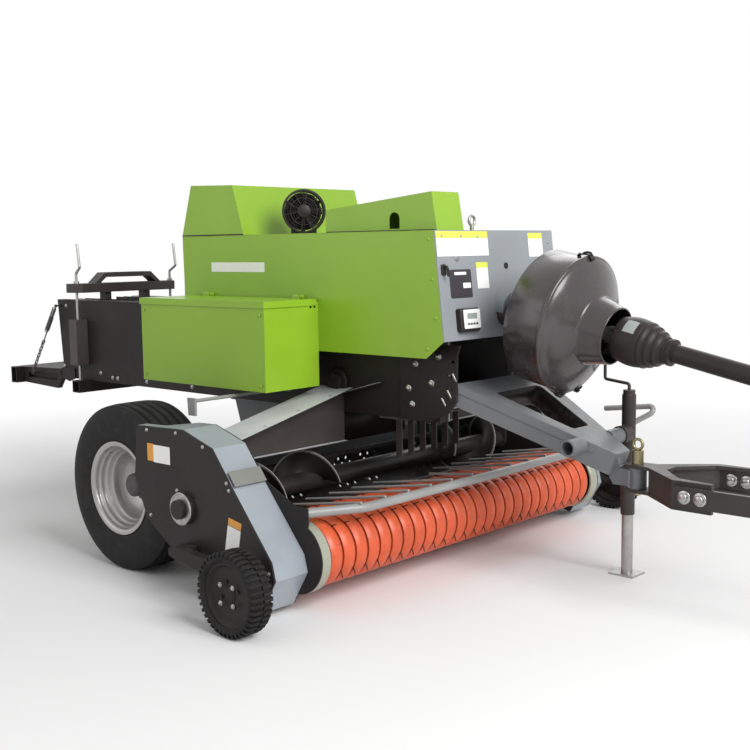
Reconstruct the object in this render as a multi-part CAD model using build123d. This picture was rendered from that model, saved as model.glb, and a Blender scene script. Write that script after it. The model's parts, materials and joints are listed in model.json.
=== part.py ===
"""Square baler, in-line, with a full-width pick-up in front of its wheels, parked on its jack.

The bale chamber runs down the middle of the machine and opens at the rear, over a folding
bale chute.  The pick-up, its augers and its gauge wheels hang in front of the main wheels on
two wings of the frame.  The flywheel turns under a round cover at the front, on a driveline
that slopes down towards the towing vehicle.

Millimetres.  +X is forward, +Y is the machine's left and +Z is up.  The pieces are drawn from
the main axle at x = 0 on the ground at z = 0, and are moved along X as they are written, so
that the origin is on the ground at the middle of the whole machine.
"""

from build123d import *

import os
from math import cos, hypot, radians, sin

# --- Running gear ---------------------------------------------------------------------------
TYRE_R = 380.0
TYRE_W = 264.0
WHEEL_FACE_Y = 1136.0          # outer face of a main tyre
RIM_SEAT_R = 194.0
RIM_LIP_R = 213.0
RIM_INSET = 8.0                # rim's lip inwards from the tyre's face
RIM_WALL = 6.0
TYRE_WALL = 18.0
DISC_DISH = 40.0               # wheel disc, inwards from the wheel's middle plane
HUB_R = 62.0
HUB_FLANGE_R = 92.0
WHEEL_STUDS = 6
HAND_HOLE_R = 17.0
HAND_HOLE_PITCH_R = 140.0
SPINDLE_R = 25.0
RUNNING_FIT = 0.05             # radial clearance of a shaft in its bore
AXLE_BEAM = 110.0
AXLE_WALL = 8.0

# --- Bale chamber and chute -----------------------------------------------------------------
BALE_HALF_W = 235.0
CHAMBER_HALF_W = 300.0
CHAMBER_LOW_Z = 690.0
CHAMBER_TOP_Z = 1160.0
BALE_LOW_Z = 750.0
BALE_TOP_Z = 1110.0
CHAMBER_REAR_X = -1770.0       # at the top of the sides
CHAMBER_RAKE = 45.0            # the rear edge leans forward by this much at the bottom
CHAMBER_FRONT_X = 1200.0
SKIN = 6.0
LINER = 8.0
ROOF_REAR_X = -900.0
RAIL_W = 60.0
RAIL_H = 50.0
FEED_X = (500.0, 840.0)        # feed mouth in the chamber's floor
FEED_HALF_W = 205.0
PLUNGER_X = (850.0, 1190.0)     # drawn back, in front of the feed mouth
CHUTE_REAR_X = -2220.0
CHUTE_HINGE_X = -1760.0
CHUTE_HINGE_Z = 716.0
CHUTE_DROP = 12.0              # fall of the chute's floor from hinge to end
CHUTE_RAIL_H = 110.0

# --- Bodywork -------------------------------------------------------------------------------
BODY_HALF_W = 430.0
BODY_REAR_X = -375.0
BODY_TOP_Z = 1515.0
BODY_LOW_Z = 981.0
FRONT_TOP_X = 1279.0
FRONT_LOW_X = 1330.0
FRONT_LOW_Z = 1055.0
CHAMFER_X = 1230.0
SHEET = 4.0
FRONT_SHEET = 6.0
SILL_W = 60.0
SILL_H = 75.0

# --- Driveline ------------------------------------------------------------------------------
DRIVE_TILT = 12.0              # degrees down towards the front
COVER_X = 1703.0
COVER_Z = 1112.5
COVER_R = 285.0
COVER_WALL = 5.0
COVER_DEPTH = 165.0            # drum, from its rim to its back wall
HOUSING_R = 95.0               # shaft housing between the front plate and the back wall
DOME_X = (8.0, 76.0)            # domed front, from its edge to its top
DOME_R = (283.0, 152.0)
DOME_POWER = 1.3
NECK_ROOT_R = 142.0
NECK_R = 119.0
NECK_X = 182.0                 # open end of the neck
FLYWHEEL_R = 250.0
FLYWHEEL_W = 90.0
INPUT_R = 30.0                 # shaft that the flywheel runs on
BEARING_R = 62.0
BEARING_REACH = (42.7888, 47.2112)  # its bearing, behind and before the front plate
HOUSING_REACH = 22.7888        # shaft housing, behind the front plate on the axis
SHAFT_R = 17.5                 # half of a 35 mm splined shaft
YOKE_R = 34.0
YOKE_L = 90.0                  # from a yoke's root to its cross
GUARD_R = 37.5
GUARD_WALL = 3.0
GUARD_GAP = 0.4                # between the telescoping guard tubes
BELL_R = 100.0

# --- Drawbar, hitch and jack ----------------------------------------------------------------
DRAW_X = 1290.0                # rear end of the drawbar's top face
DRAW_Z = 868.0
DRAW_SLOPE = 23.0              # degrees down towards the front
DRAW_DEPTH = 98.0
DRAW_HALF_W = 300.0
NOSE_HALF_W = 55.0
LEG_W = 92.0
DRAW_WALL = 8.0
PIN_X = 1985.0                 # vertical hitch pin
PIN_R = 16.0
YOKE_LOW_Z = 462.0
YOKE_TOP_Z = 548.0
BAR_Y = 200.0
BAR_T = 20.0
BAR_FRONT_X = 2960.0
BAR_EYE_R = 14.4
JACK_X = 1780.0
JACK_Y = 285.0
JACK_Z = 630.0
JACK_TUBE_R = 30.0
JACK_LEG_R = 25.0
STUB_R = 34.0
STUB_BORE_R = 27.0               # right-hand stub; the left one fits the jack's trunnion
TRUNNION_R = 25.0

# --- Pick-up --------------------------------------------------------------------------------
REEL_X = 1038.0
REEL_Z = 220.0
BAND_R = 140.0
BAND_COUNT = 26
BAND_PITCH = 73.3
BAND_W = 60.0
BAND_T = 3.0
BAND_TAIL = 180.0
TINE_TIP_R = 165.0
TINE_T = 5.5
TINE_BARS = 4
TINE_BAR_R = 12.0
TINE_BAR_PITCH_R = 88.0
REEL_SHAFT_R = 20.0
SIDE_Y = 1014.0                # inner face of the pick-up's side plates
SIDE_T = 6.0
SHIELD_Y = 1190.0              # inner face of the outer shields
SHIELD_T = 8.0
RIM_STRIP_T = 3.0
PIVOT_X = 565.0
PIVOT_Z = 384.0
PIVOT_R = 36.0
PIVOT_BORE_R = 27.0
AUGER_R = 145.0
AUGER_TUBE_R = 45.0
AUGER_SHAFT_R = 25.0
AUGER_PITCH = 340.0
AUGER_T = 5.0
TROUGH_R = 160.0
TROUGH_T = 4.0
GUARD_PIPE_R = 20.0
GAUGE_X = 1070.0
GAUGE_R = 165.0
GAUGE_W = 104.0
GAUGE_FACE_Y = 1420.0
GAUGE_LUGS = 40
GAUGE_LUG_H = 9.0
LUG_HALF = 6.0                 # half of a lug, round the tyre

# --- Overall reach, which sets the origin ---------------------------------------------------
DRIVE_END = 1690.0             # driveline's front end, from the flywheel cover's rim
MACHINE_REAR_X = CHUTE_REAR_X - 60.0
MACHINE_FRONT_X = (COVER_X + DRIVE_END * cos(radians(DRIVE_TILT))
                   + YOKE_R * sin(radians(DRIVE_TILT)))
CENTRE_X = (MACHINE_REAR_X + MACHINE_FRONT_X) / 2.0

NODES = {}
os.makedirs("parts", exist_ok=True)


def keep(name, shape):
    """File a finished piece under its node's name."""
    NODES[name] = shape


def block(x, y, z):
    """Box from (low, high) pairs."""
    size = (x[1] - x[0], y[1] - y[0], z[1] - z[0])
    middle = Pos((x[0] + x[1]) / 2, (y[0] + y[1]) / 2, (z[0] + z[1]) / 2)
    return middle * Box(*size)


def plate_xz(outline, y_low, y_high):
    """Flat plate with an outline of (x, z) points, between two values of y."""
    face = Plane.XZ.offset(-y_high) * Polygon(*outline, align=None)
    return extrude(face, y_high - y_low, dir=(0, -1, 0))


def plate_xy(outline, z_low, z_high):
    """Flat plate with an outline of (x, y) points, between two values of z."""
    face = Plane.XY.offset(z_low) * Polygon(*outline, align=None)
    return extrude(face, z_high - z_low, dir=(0, 0, 1))


def plate_yz(outline, x_low, x_high):
    """Flat plate with an outline of (y, z) points, between two values of x."""
    face = Plane.YZ.offset(x_low) * Polygon(*outline, align=None)
    return extrude(face, x_high - x_low, dir=(1, 0, 0))


def turned(profile):
    """Solid of revolution about X from (axial, radius) points."""
    return revolve(Polygon(*profile, align=None), Axis.X)


def across(shape, x, y, z):
    """Lay a shape that was turned about X along Y, its +X end to the right of the machine."""
    return Pos(x, y, z) * Rot(0, 0, -90) * shape


def rod(start, end, radius):
    """Round bar between two points."""
    direction = Vector(*end) - Vector(*start)
    base = Plane(origin=start, z_dir=direction)
    return extrude(base * Circle(radius), direction.length)


def pipe(points, radius, bend, bore=0.0):
    """Bent tube through the points, with one bend radius."""
    path = FilletPolyline(*points, radius=bend)
    start = Plane(origin=path @ 0, z_dir=path % 0)
    section = Circle(radius)
    if bore:
        section -= Circle(bore)
    return sweep(start * section, path=path)


def left_of(shape):
    """The same piece on the machine's left."""
    return mirror(shape, Plane.XZ)


def pair(name, shape):
    """File a right-hand piece and its mirror image as two nodes."""
    keep(name + "_right", shape)
    keep(name + "_left", left_of(shape))


def both(shape):
    """A right-hand piece and its mirror image as one node."""
    return Compound([*shape.solids(), *left_of(shape).solids()])


def on_drive(shape, along):
    """Set a shape that was turned about X on the driveline, this far from the cover's rim."""
    return Pos(COVER_X, 0, COVER_Z) * Rot(0, DRIVE_TILT, 0) * Pos(along, 0, 0) * shape


# --- Running gear ---------------------------------------------------------------------------
WHEEL_Y = WHEEL_FACE_Y - TYRE_W / 2


def tyre():
    """Hollow ribbed implement tyre, turned about X with its middle at zero."""
    half = TYRE_W / 2
    bead = half - RIM_INSET - 1.0
    shoulder = half - 20.0
    shoulder_r = TYRE_R - 14.0
    bulge_r = (RIM_LIP_R + TYRE_R) / 2
    seat = RIM_SEAT_R + 0.3
    lip = RIM_LIP_R + 1.0
    outer_right = (Line((bead, seat), (bead, lip))
                   + ThreePointArc((bead, lip), (half, bulge_r), (shoulder, shoulder_r)))
    crown = Polyline((shoulder, shoulder_r), (shoulder - 18, TYRE_R), (18 - shoulder, TYRE_R),
                     (-shoulder, shoulder_r))
    outer_left = (ThreePointArc((-shoulder, shoulder_r), (-half, bulge_r), (-bead, lip))
                  + Line((-bead, lip), (-bead, seat)))
    inner = TYRE_WALL
    foot_left = Line((-bead, seat), (inner - bead, seat))
    inner_left = ThreePointArc((inner - bead, seat), (inner - half, bulge_r),
                               (inner - shoulder, shoulder_r - inner))
    under = Line((inner - shoulder, shoulder_r - inner), (shoulder - inner, shoulder_r - inner))
    inner_right = ThreePointArc((shoulder - inner, shoulder_r - inner), (half - inner, bulge_r),
                                (bead - inner, seat))
    foot_right = Line((bead - inner, seat), (bead, seat))
    outline = outer_right + crown + outer_left + foot_left + inner_left + under + inner_right
    return revolve(make_face(outline + foot_right), Axis.X)


def rim():
    """Wheel rim with its dished disc, turned about X; +X is the outside of the wheel."""
    lip = TYRE_W / 2 - RIM_INSET - 0.7
    drop_r = RIM_SEAT_R - 36.0
    outside = [(-lip, RIM_LIP_R), (-lip, RIM_SEAT_R), (-lip + 34, RIM_SEAT_R), (-lip + 50, drop_r),
               (lip - 50, drop_r), (lip - 34, RIM_SEAT_R), (lip, RIM_SEAT_R), (lip, RIM_LIP_R)]
    wall = RIM_WALL
    inside = [(lip + wall, RIM_LIP_R), (lip + wall, RIM_SEAT_R - wall),
              (lip - 31, RIM_SEAT_R - wall), (lip - 47, drop_r - wall),
              (47 - lip, drop_r - wall), (31 - lip, RIM_SEAT_R - wall),
              (-lip - wall, RIM_SEAT_R - wall), (-lip - wall, RIM_LIP_R)]
    barrel = turned(outside + inside)
    disc = turned([(-DISC_DISH, HUB_R), (-DISC_DISH, HUB_FLANGE_R + 10), (10, drop_r - wall),
                   (22, drop_r - wall), (-DISC_DISH + 10, HUB_FLANGE_R + 14),
                   (-DISC_DISH + 10, HUB_R)])
    holes = PolarLocations(HAND_HOLE_PITCH_R, WHEEL_STUDS, start_angle=30)
    slots = [Plane.YZ.offset(-80) * place * Circle(HAND_HOLE_R) for place in holes]
    shape = barrel + disc
    for slot in slots:
        shape -= extrude(slot, 160)
    return shape


def hub():
    """Wheel hub with its stud flange, turned about X; the bore is open towards the axle."""
    bore = SPINDLE_R + RUNNING_FIT
    back = -DISC_DISH
    body = turned([(back - 62, bore), (back - 62, HUB_R - 8), (back - 14, HUB_R - 8),
                   (back - 14, HUB_FLANGE_R), (back, HUB_FLANGE_R), (back, HUB_R - 0.3),
                   (back + 90, HUB_R - 10), (back + 100, HUB_R - 22), (back + 100, 0),
                   (back + 50, 0), (back + 50, bore)])
    studs = [Plane.YZ.offset(back + 10.3) * place * RegularPolygon(13, 6)
             for place in PolarLocations(HUB_FLANGE_R - 15, WHEEL_STUDS)]
    nuts = [extrude(stud, 12) for stud in studs]
    return Compound([*body.solids(), *[nut.solids()[0] for nut in nuts]])


pair("wheel_tyre", across(tyre(), 0, -WHEEL_Y, TYRE_R))
pair("wheel_rim", across(rim(), 0, -WHEEL_Y, TYRE_R))
pair("wheel_hub", across(hub(), 0, -WHEEL_Y, TYRE_R))

AXLE_END_Y = WHEEL_Y - DISC_DISH - 80.0
SPINDLE_TIP_Y = WHEEL_Y - DISC_DISH + 48.0


def spindle():
    """Stub axle of the right wheel, with its collar against the axle's end plate."""
    collar_end = WHEEL_Y - DISC_DISH - 64.0
    return across(turned([(AXLE_END_Y, 0), (AXLE_END_Y, HUB_R - 12), (collar_end, HUB_R - 12),
                          (collar_end, SPINDLE_R), (SPINDLE_TIP_Y, SPINDLE_R),
                          (SPINDLE_TIP_Y, 0)]), 0, 0, TYRE_R)


def axle_beam():
    """Square tube between the stub axles, with an end plate on each end."""
    half = AXLE_BEAM / 2
    core = half - AXLE_WALL
    tube = block((-half, half), (8 - AXLE_END_Y, AXLE_END_Y - 8), (TYRE_R - half, TYRE_R + half))
    tube -= block((-core, core), (-AXLE_END_Y, AXLE_END_Y), (TYRE_R - core, TYRE_R + core))
    for side in (-1, 1):
        low, high = sorted((side * AXLE_END_Y, side * (AXLE_END_Y - 8)))
        tube += block((-half - 10, half + 10), (low, high), (TYRE_R - half - 10, TYRE_R + half + 10))
    return tube


def axle_bracket():
    """Right-hand plate that carries the bale chamber on the axle, with its two flanges."""
    half = AXLE_BEAM / 2
    web = plate_xz([(-half - 40, TYRE_R + half), (half + 40, TYRE_R + half),
                    (half + 120, CHAMBER_LOW_Z - 8), (-half - 120, CHAMBER_LOW_Z - 8)],
                   -CHAMBER_HALF_W + 20, -CHAMBER_HALF_W + 32)
    web -= across(turned([(-400, 0), (-400, 45), (400, 45), (400, 0)]), 0, 0,
                  (TYRE_R + half + CHAMBER_LOW_Z) / 2)
    head = block((-half - 130, half + 130), (-CHAMBER_HALF_W, -CHAMBER_HALF_W + 70),
                 (CHAMBER_LOW_Z - 8, CHAMBER_LOW_Z))
    return web + head


def axle():
    """Main axle: the beam with its stub axles and the plates that carry the chamber."""
    side = spindle() + axle_bracket()
    return axle_beam() + side + left_of(side)


keep("axle", axle())


# --- Bale chamber and chute -----------------------------------------------------------------


def chamber_side():
    """Right-hand side of the bale chamber: a skin with flanges turned inwards all round."""
    rear_low = CHAMBER_REAR_X + CHAMBER_RAKE
    outline = [(CHAMBER_REAR_X, CHAMBER_TOP_Z), (CHAMBER_FRONT_X, CHAMBER_TOP_Z),
               (CHAMBER_FRONT_X, CHAMBER_LOW_Z), (rear_low, CHAMBER_LOW_Z)]
    slope = CHAMBER_RAKE / (CHAMBER_TOP_Z - CHAMBER_LOW_Z)
    inner = [(CHAMBER_REAR_X + SKIN + slope * SKIN, CHAMBER_TOP_Z - SKIN),
             (CHAMBER_FRONT_X - SKIN, CHAMBER_TOP_Z - SKIN),
             (CHAMBER_FRONT_X - SKIN, CHAMBER_LOW_Z + SKIN),
             (rear_low + SKIN - slope * SKIN, CHAMBER_LOW_Z + SKIN)]
    outer_y = -CHAMBER_HALF_W
    pan = plate_xz(outline, outer_y, -BALE_HALF_W - LINER)
    return pan - plate_xz(inner, outer_y + SKIN, -BALE_HALF_W)


def chamber_liner():
    """Right-hand wear plate between the bale and the side's flanges."""
    rear_low = CHAMBER_REAR_X + CHAMBER_RAKE
    outline = [(CHAMBER_REAR_X, CHAMBER_TOP_Z), (CHAMBER_FRONT_X, CHAMBER_TOP_Z),
               (CHAMBER_FRONT_X, CHAMBER_LOW_Z), (rear_low, CHAMBER_LOW_Z)]
    return plate_xz(outline, -BALE_HALF_W - LINER, -BALE_HALF_W)


def bale_case():
    """Welded lining of the bale chamber: two wear plates, the floor with its feed mouth and,
    in front of the tension rails, the roof."""
    rear = CHAMBER_REAR_X + CHAMBER_RAKE
    floor = block((rear, CHAMBER_FRONT_X), (-BALE_HALF_W, BALE_HALF_W),
                  (BALE_LOW_Z - LINER, BALE_LOW_Z))
    floor -= block(FEED_X, (-FEED_HALF_W, FEED_HALF_W), (BALE_LOW_Z - LINER - 1, BALE_LOW_Z + 1))
    roof = block((ROOF_REAR_X, CHAMBER_FRONT_X), (-BALE_HALF_W, BALE_HALF_W),
                 (BALE_TOP_Z, BALE_TOP_Z + LINER))
    liner = chamber_liner()
    return liner + left_of(liner) + floor + roof


def plunger():
    """Plunger, drawn back: its face towards the bale and its frame, open towards the front."""
    gap = 3.0
    body = block(PLUNGER_X, (-BALE_HALF_W + gap, BALE_HALF_W - gap),
                 (BALE_LOW_Z + gap, BALE_TOP_Z - gap))
    wall = 20.0
    core = block((PLUNGER_X[0] + wall, PLUNGER_X[1] + 1),
                 (-BALE_HALF_W + gap + wall, BALE_HALF_W - gap - wall),
                 (BALE_LOW_Z + gap + wall, BALE_TOP_Z - gap - wall))
    body -= core
    runner = block((PLUNGER_X[0] + 40, PLUNGER_X[1] - 40), (-BALE_HALF_W + 20, -BALE_HALF_W + 50),
                   (BALE_LOW_Z + 0.3, BALE_LOW_Z + gap + 1))
    return body + runner + left_of(runner)


keep("bale_case", bale_case())
keep("plunger", plunger())


def tension_rail(y):
    """Upper rail that squeezes the bale: an upturned channel from the roof to the rear."""
    rear = CHAMBER_REAR_X + 15.0
    half = RAIL_W / 2
    top = BALE_TOP_Z + RAIL_H
    rail = block((rear, ROOF_REAR_X), (y - half, y + half), (BALE_TOP_Z, top))
    hollow = block((rear, ROOF_REAR_X - 20), (y - half + SKIN, y + half - SKIN),
                   (BALE_TOP_Z + SKIN, top))
    return rail - hollow


RAIL_Y = 140.0
keep("tension_rails", both(tension_rail(-RAIL_Y)))

BEAM_X = -1500.0
BEAM_HALF_L = 372.0
BEAM_W = 110.0
BEAM_LOW_Z = 1205.0
BEAM_TOP_Z = 1258.0


def tension_beam():
    """Cross channel over the rails' rear end, open at the bottom, with slanted ends."""
    half_w = BEAM_W / 2
    outline = [(BEAM_X - half_w + 30, -BEAM_HALF_L), (BEAM_X + half_w, -BEAM_HALF_L + 40),
               (BEAM_X + half_w, BEAM_HALF_L - 40), (BEAM_X - half_w + 30, BEAM_HALF_L),
               (BEAM_X - half_w, BEAM_HALF_L), (BEAM_X - half_w, -BEAM_HALF_L)]
    beam = plate_xy(outline, BEAM_LOW_Z, BEAM_TOP_Z)
    beam -= block((BEAM_X - half_w + SKIN, BEAM_X + half_w - SKIN),
                  (-BEAM_HALF_L + 46, BEAM_HALF_L - 46), (BEAM_LOW_Z - 1, BEAM_TOP_Z - SKIN))
    for side in (-1, 1):
        hole = Pos(BEAM_X, side * SCREW_Y, BEAM_LOW_Z) * Cylinder(SCREW_R + 1, 300)
        beam -= hole
        low, high = sorted((side * (RAIL_Y - 20), side * (RAIL_Y + 20)))
        beam += block((BEAM_X - 30, BEAM_X + 30), (low, high),
                      (BALE_TOP_Z + RAIL_H, BEAM_TOP_Z - SKIN))
    return beam


SCREW_Y = 338.0
SCREW_R = 8.0
SPRING_LOW_Z = 782.0
SPRING_TOP_Z = 1048.0
LOWER_BEAM_Z = 700.0


def tension_screw():
    """Right-hand screw from the lower beam up to its cranked handle."""
    z_low = LOWER_BEAM_Z - 30
    foot = BEAM_TOP_Z + 60
    route = [(BEAM_X, -SCREW_Y, z_low), (BEAM_X, -SCREW_Y, foot),
             (BEAM_X + 52, -SCREW_Y - 8, foot + 34), (BEAM_X + 34, -SCREW_Y - 8, foot + 170)]
    screw = pipe(route, SCREW_R, 12.0)
    nut = Plane.XY.offset(BEAM_TOP_Z) * RegularPolygon(16, 6)
    return screw + Pos(BEAM_X, -SCREW_Y, 0) * extrude(nut, 14)


def spring_box():
    """Right-hand housing of the tension spring, open at the bottom, round the screw."""
    half = 38.0
    box = block((BEAM_X - half, BEAM_X + half), (-SCREW_Y - half, -SCREW_Y + half - 0.3),
                (SPRING_LOW_Z, SPRING_TOP_Z))
    box -= block((BEAM_X - half + 4, BEAM_X + half - 4),
                 (-SCREW_Y - half + 4, -SCREW_Y + half - 4.3), (SPRING_LOW_Z - 1, SPRING_TOP_Z - 8))
    return box - Pos(BEAM_X, -SCREW_Y, SPRING_TOP_Z) * Cylinder(SCREW_R + 0.3, 60)


def lower_beam():
    """Square tube across the chamber's underside, which the screws pull on."""
    half = 35.0
    tube = block((BEAM_X - half, BEAM_X + half), (-BEAM_HALF_L, BEAM_HALF_L),
                 (CHAMBER_LOW_Z - 2 * half, CHAMBER_LOW_Z))
    tube -= block((BEAM_X - half + SKIN, BEAM_X + half - SKIN), (-BEAM_HALF_L - 1, BEAM_HALF_L + 1),
                  (CHAMBER_LOW_Z - 2 * half + SKIN, CHAMBER_LOW_Z - SKIN))
    for side in (-1, 1):
        tube -= Pos(BEAM_X, side * SCREW_Y, CHAMBER_LOW_Z - half) * Cylinder(SCREW_R + 1, 200)
    return tube


def beam_handle():
    """Arched strap on top of the tension beam."""
    half = 235.0
    rise = 62.0
    outer = [(-half, BEAM_TOP_Z), (-half + 70, BEAM_TOP_Z + rise), (half - 70, BEAM_TOP_Z + rise),
             (half, BEAM_TOP_Z)]
    strap = 28.0
    inner = [(-half + strap * 1.3, BEAM_TOP_Z), (-half + 78, BEAM_TOP_Z + rise - strap),
             (half - 78, BEAM_TOP_Z + rise - strap), (half - strap * 1.3, BEAM_TOP_Z)]
    arch = plate_yz(outer, BEAM_X - 40, BEAM_X + 40)
    return arch - plate_yz(inner, BEAM_X - 41, BEAM_X + 41)


keep("tension_beam", tension_beam() + beam_handle())
keep("tension_screws", both(tension_screw()))
keep("spring_boxes", both(spring_box()))
keep("lower_beam", lower_beam())

CHUTE_HALF_W = 290.0
CHAIN_Y = 330.0
CHAIN_TOP = (-1742.0, 1122.0)
CHAIN_END = (-2040.0, 700.0)
CHAIN_PIN_R = 4.5
LINK_L = 36.0
LINK_W = 20.0
LINK_T = 5.0
CHAIN_LINKS = 10


def chute():
    """Bale chute: a floor between two side rails, on hinge ears, with a cross tube at its end."""
    rail = 30.0
    front = CHUTE_HINGE_X - 6.0
    top = BALE_LOW_Z - CHUTE_DROP
    low = top - CHUTE_RAIL_H
    side = plate_xz([(front, top), (CHUTE_REAR_X, top - 14), (CHUTE_REAR_X, low), (front - 60, low - 14),
                     (front, CHUTE_HINGE_Z - 24)], -CHUTE_HALF_W, -CHUTE_HALF_W + rail)
    ear = Pos(CHUTE_HINGE_X, -CHUTE_HALF_W + rail / 2, CHUTE_HINGE_Z) * Rot(90, 0, 0)
    side += ear * Cylinder(22, rail)
    side -= ear * Cylinder(CHUTE_PIN_R + RUNNING_FIT, rail + 2)
    side -= plate_xz([(front - 60, low + 34), (CHUTE_REAR_X + 60, low + 34),
                      (CHUTE_REAR_X + 60, top - 44), (front - 60, top - 34)],
                     -CHUTE_HALF_W - 1, -CHUTE_HALF_W + rail - 6)
    floor = plate_xz([(front + 24, top - 6), (CHUTE_REAR_X, top - 20), (CHUTE_REAR_X, top - 14),
                      (front + 24, top)], -CHUTE_HALF_W + rail, CHUTE_HALF_W - rail)
    tail = block((CHUTE_REAR_X - 60, CHUTE_REAR_X), (-CHUTE_HALF_W - 50, CHUTE_HALF_W + 50),
                 (low - 4, top - 14))
    tail -= block((CHUTE_REAR_X - 54, CHUTE_REAR_X - 6), (-CHUTE_HALF_W - 51, CHUTE_HALF_W + 51),
                  (low + 2, top - 20))
    side += rod((CHAIN_END[0], -CHAIN_Y - LINK_W / 2, CHAIN_END[1]),
                (CHAIN_END[0], -CHUTE_HALF_W + rail / 2, CHAIN_END[1]), CHAIN_PIN_R)
    return side + left_of(side) + floor + tail


CHUTE_PIN_R = 10.0


def chute_hinge():
    """Right-hand hinge pin with its bracket under the chamber's side."""
    rear_low = CHAMBER_REAR_X + CHAMBER_RAKE
    bracket = plate_xz([(rear_low + 120, CHAMBER_LOW_Z + 60), (rear_low - 8, CHAMBER_LOW_Z + 60),
                        (CHUTE_HINGE_X - 20, CHUTE_HINGE_Z + 20),
                        (CHUTE_HINGE_X - 24, CHUTE_HINGE_Z - 12), (CHUTE_HINGE_X, CHUTE_HINGE_Z - 28),
                        (rear_low + 60, CHAMBER_LOW_Z - 20), (rear_low + 120, CHAMBER_LOW_Z)],
                       -CHAMBER_HALF_W - 8, -CHAMBER_HALF_W)
    pin = rod((CHUTE_HINGE_X, -CHAMBER_HALF_W - 14, CHUTE_HINGE_Z),
              (CHUTE_HINGE_X, -CHUTE_HALF_W + 34, CHUTE_HINGE_Z), CHUTE_PIN_R)
    return bracket + pin


def side_frame():
    """Right-hand side of the chamber with the chute's hinge pin and the chain's pin on it."""
    chain_pin = rod((CHAIN_TOP[0], -CHAIN_Y - LINK_W / 2, CHAIN_TOP[1]),
                    (CHAIN_TOP[0], -CHAMBER_HALF_W + SKIN, CHAIN_TOP[1]), CHAIN_PIN_R)
    return chamber_side() + chute_hinge() + chain_pin


keep("chamber_sides", both(side_frame()))
keep("bale_chute", chute())


def chute_chain():
    """Right-hand chain from its pin on the chamber down to its pin on the chute: a turnbuckle
    with an eye, then flat links, each turned a quarter from the one before."""
    run_x = CHAIN_END[0] - CHAIN_TOP[0]
    run_z = CHAIN_END[1] - CHAIN_TOP[1]
    eye_r = CHAIN_PIN_R + 0.3
    length = hypot(run_x, run_z) + eye_r + LINK_T
    frame = Plane(origin=(CHAIN_TOP[0], -CHAIN_Y, CHAIN_TOP[1]), x_dir=(0, 1, 0),
                  z_dir=(run_x, 0, run_z))
    step = LINK_L - 2 * LINK_T - 0.3
    first = length - LINK_L / 2 - (CHAIN_LINKS - 1) * step
    outline = SlotOverall(LINK_L, LINK_W) - SlotOverall(LINK_L - 2 * LINK_T, 2 * eye_r)
    flat = Rot(0, 90, 0) * extrude(outline, LINK_T / 2, both=True)
    solids = []
    for index in range(CHAIN_LINKS):
        turn = 90 * ((CHAIN_LINKS - 1 - index) % 2)
        link = frame * Pos(0, 0, first + index * step) * Rot(0, 0, turn) * flat
        solids.extend(link.solids())
    hook = Rot(0, 90, 0) * (Cylinder(eye_r + LINK_T, LINK_T) - Cylinder(eye_r, LINK_T + 1))
    hook_end = first - LINK_L / 2 + LINK_T + 2 * eye_r
    lower = Pos(0, 0, hook_end - eye_r - 0.3) * Rot(0, 0, 90) * hook
    rod_start = eye_r + LINK_T / 2
    rod_end = hook_end - 2 * eye_r - LINK_T / 2
    middle = (rod_start + rod_end) / 2
    buckle = Pos(0, 0, middle) * Cylinder(4, rod_end - rod_start)
    buckle += Pos(0, 0, middle) * Cylinder(11, 90)
    buckle = frame * (hook + buckle + lower)
    solids.extend(buckle.solids())
    return Compound(solids)


keep("chute_chains", both(chute_chain()))

# --- Bodywork -------------------------------------------------------------------------------
PLATE_SLOPE = (FRONT_LOW_X - FRONT_TOP_X) / (BODY_TOP_Z - FRONT_LOW_Z)
# the driveline's crossing of the front plate, from the cover's rim
PLATE_ALONG = (FRONT_TOP_X + (BODY_TOP_Z - COVER_Z) * PLATE_SLOPE - COVER_X) / (
    cos(radians(DRIVE_TILT)) - sin(radians(DRIVE_TILT)) * PLATE_SLOPE)
BEARING = (PLATE_ALONG - BEARING_REACH[0], PLATE_ALONG + BEARING_REACH[1])


def plate_x(z):
    """Front face of the front plate at this height."""
    return FRONT_TOP_X + (BODY_TOP_Z - z) * PLATE_SLOPE


def side_panel():
    """Right-hand side panel, cut off at a slant under the front plate."""
    back = BODY_REAR_X
    front_top = FRONT_TOP_X - FRONT_SHEET
    front_low = FRONT_LOW_X - FRONT_SHEET
    rear_low = back + 12.0
    outline = [(back, BODY_TOP_Z - SHEET), (front_top, BODY_TOP_Z - SHEET), (front_low, FRONT_LOW_Z),
               (CHAMFER_X, BODY_LOW_Z), (rear_low, BODY_LOW_Z)]
    return plate_xz(outline, -BODY_HALF_W, -BODY_HALF_W + SHEET)


def front_plate():
    """Sloping front plate between the side panels, with a service hole and the bearing of the
    flywheel's shaft."""
    outline = [(FRONT_TOP_X - FRONT_SHEET, BODY_TOP_Z), (FRONT_TOP_X, BODY_TOP_Z),
               (FRONT_LOW_X, FRONT_LOW_Z), (FRONT_LOW_X - FRONT_SHEET, FRONT_LOW_Z)]
    plate = plate_xz(outline, -BODY_HALF_W, BODY_HALF_W)
    hole_z = 1400.0
    hole = Pos(plate_x(hole_z), -300, hole_z) * Rot(0, 90, 0)
    plate -= hole * Cylinder(14, 40)
    low, high = BEARING
    plate += on_drive(turned([(low, 0), (low, BEARING_R), (high, BEARING_R), (high, 0)]), 0)
    bore_r = INPUT_R + RUNNING_FIT
    return plate - on_drive(turned([(low - 1, 0), (low - 1, bore_r), (high + 1, bore_r),
                                    (high + 1, 0)]), 0)


def top_deck():
    """Top of the body between the side panels, in one sheet."""
    return block((BODY_REAR_X, FRONT_TOP_X - FRONT_SHEET), (-BODY_HALF_W, BODY_HALF_W),
                 (BODY_TOP_Z - SHEET, BODY_TOP_Z))


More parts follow.
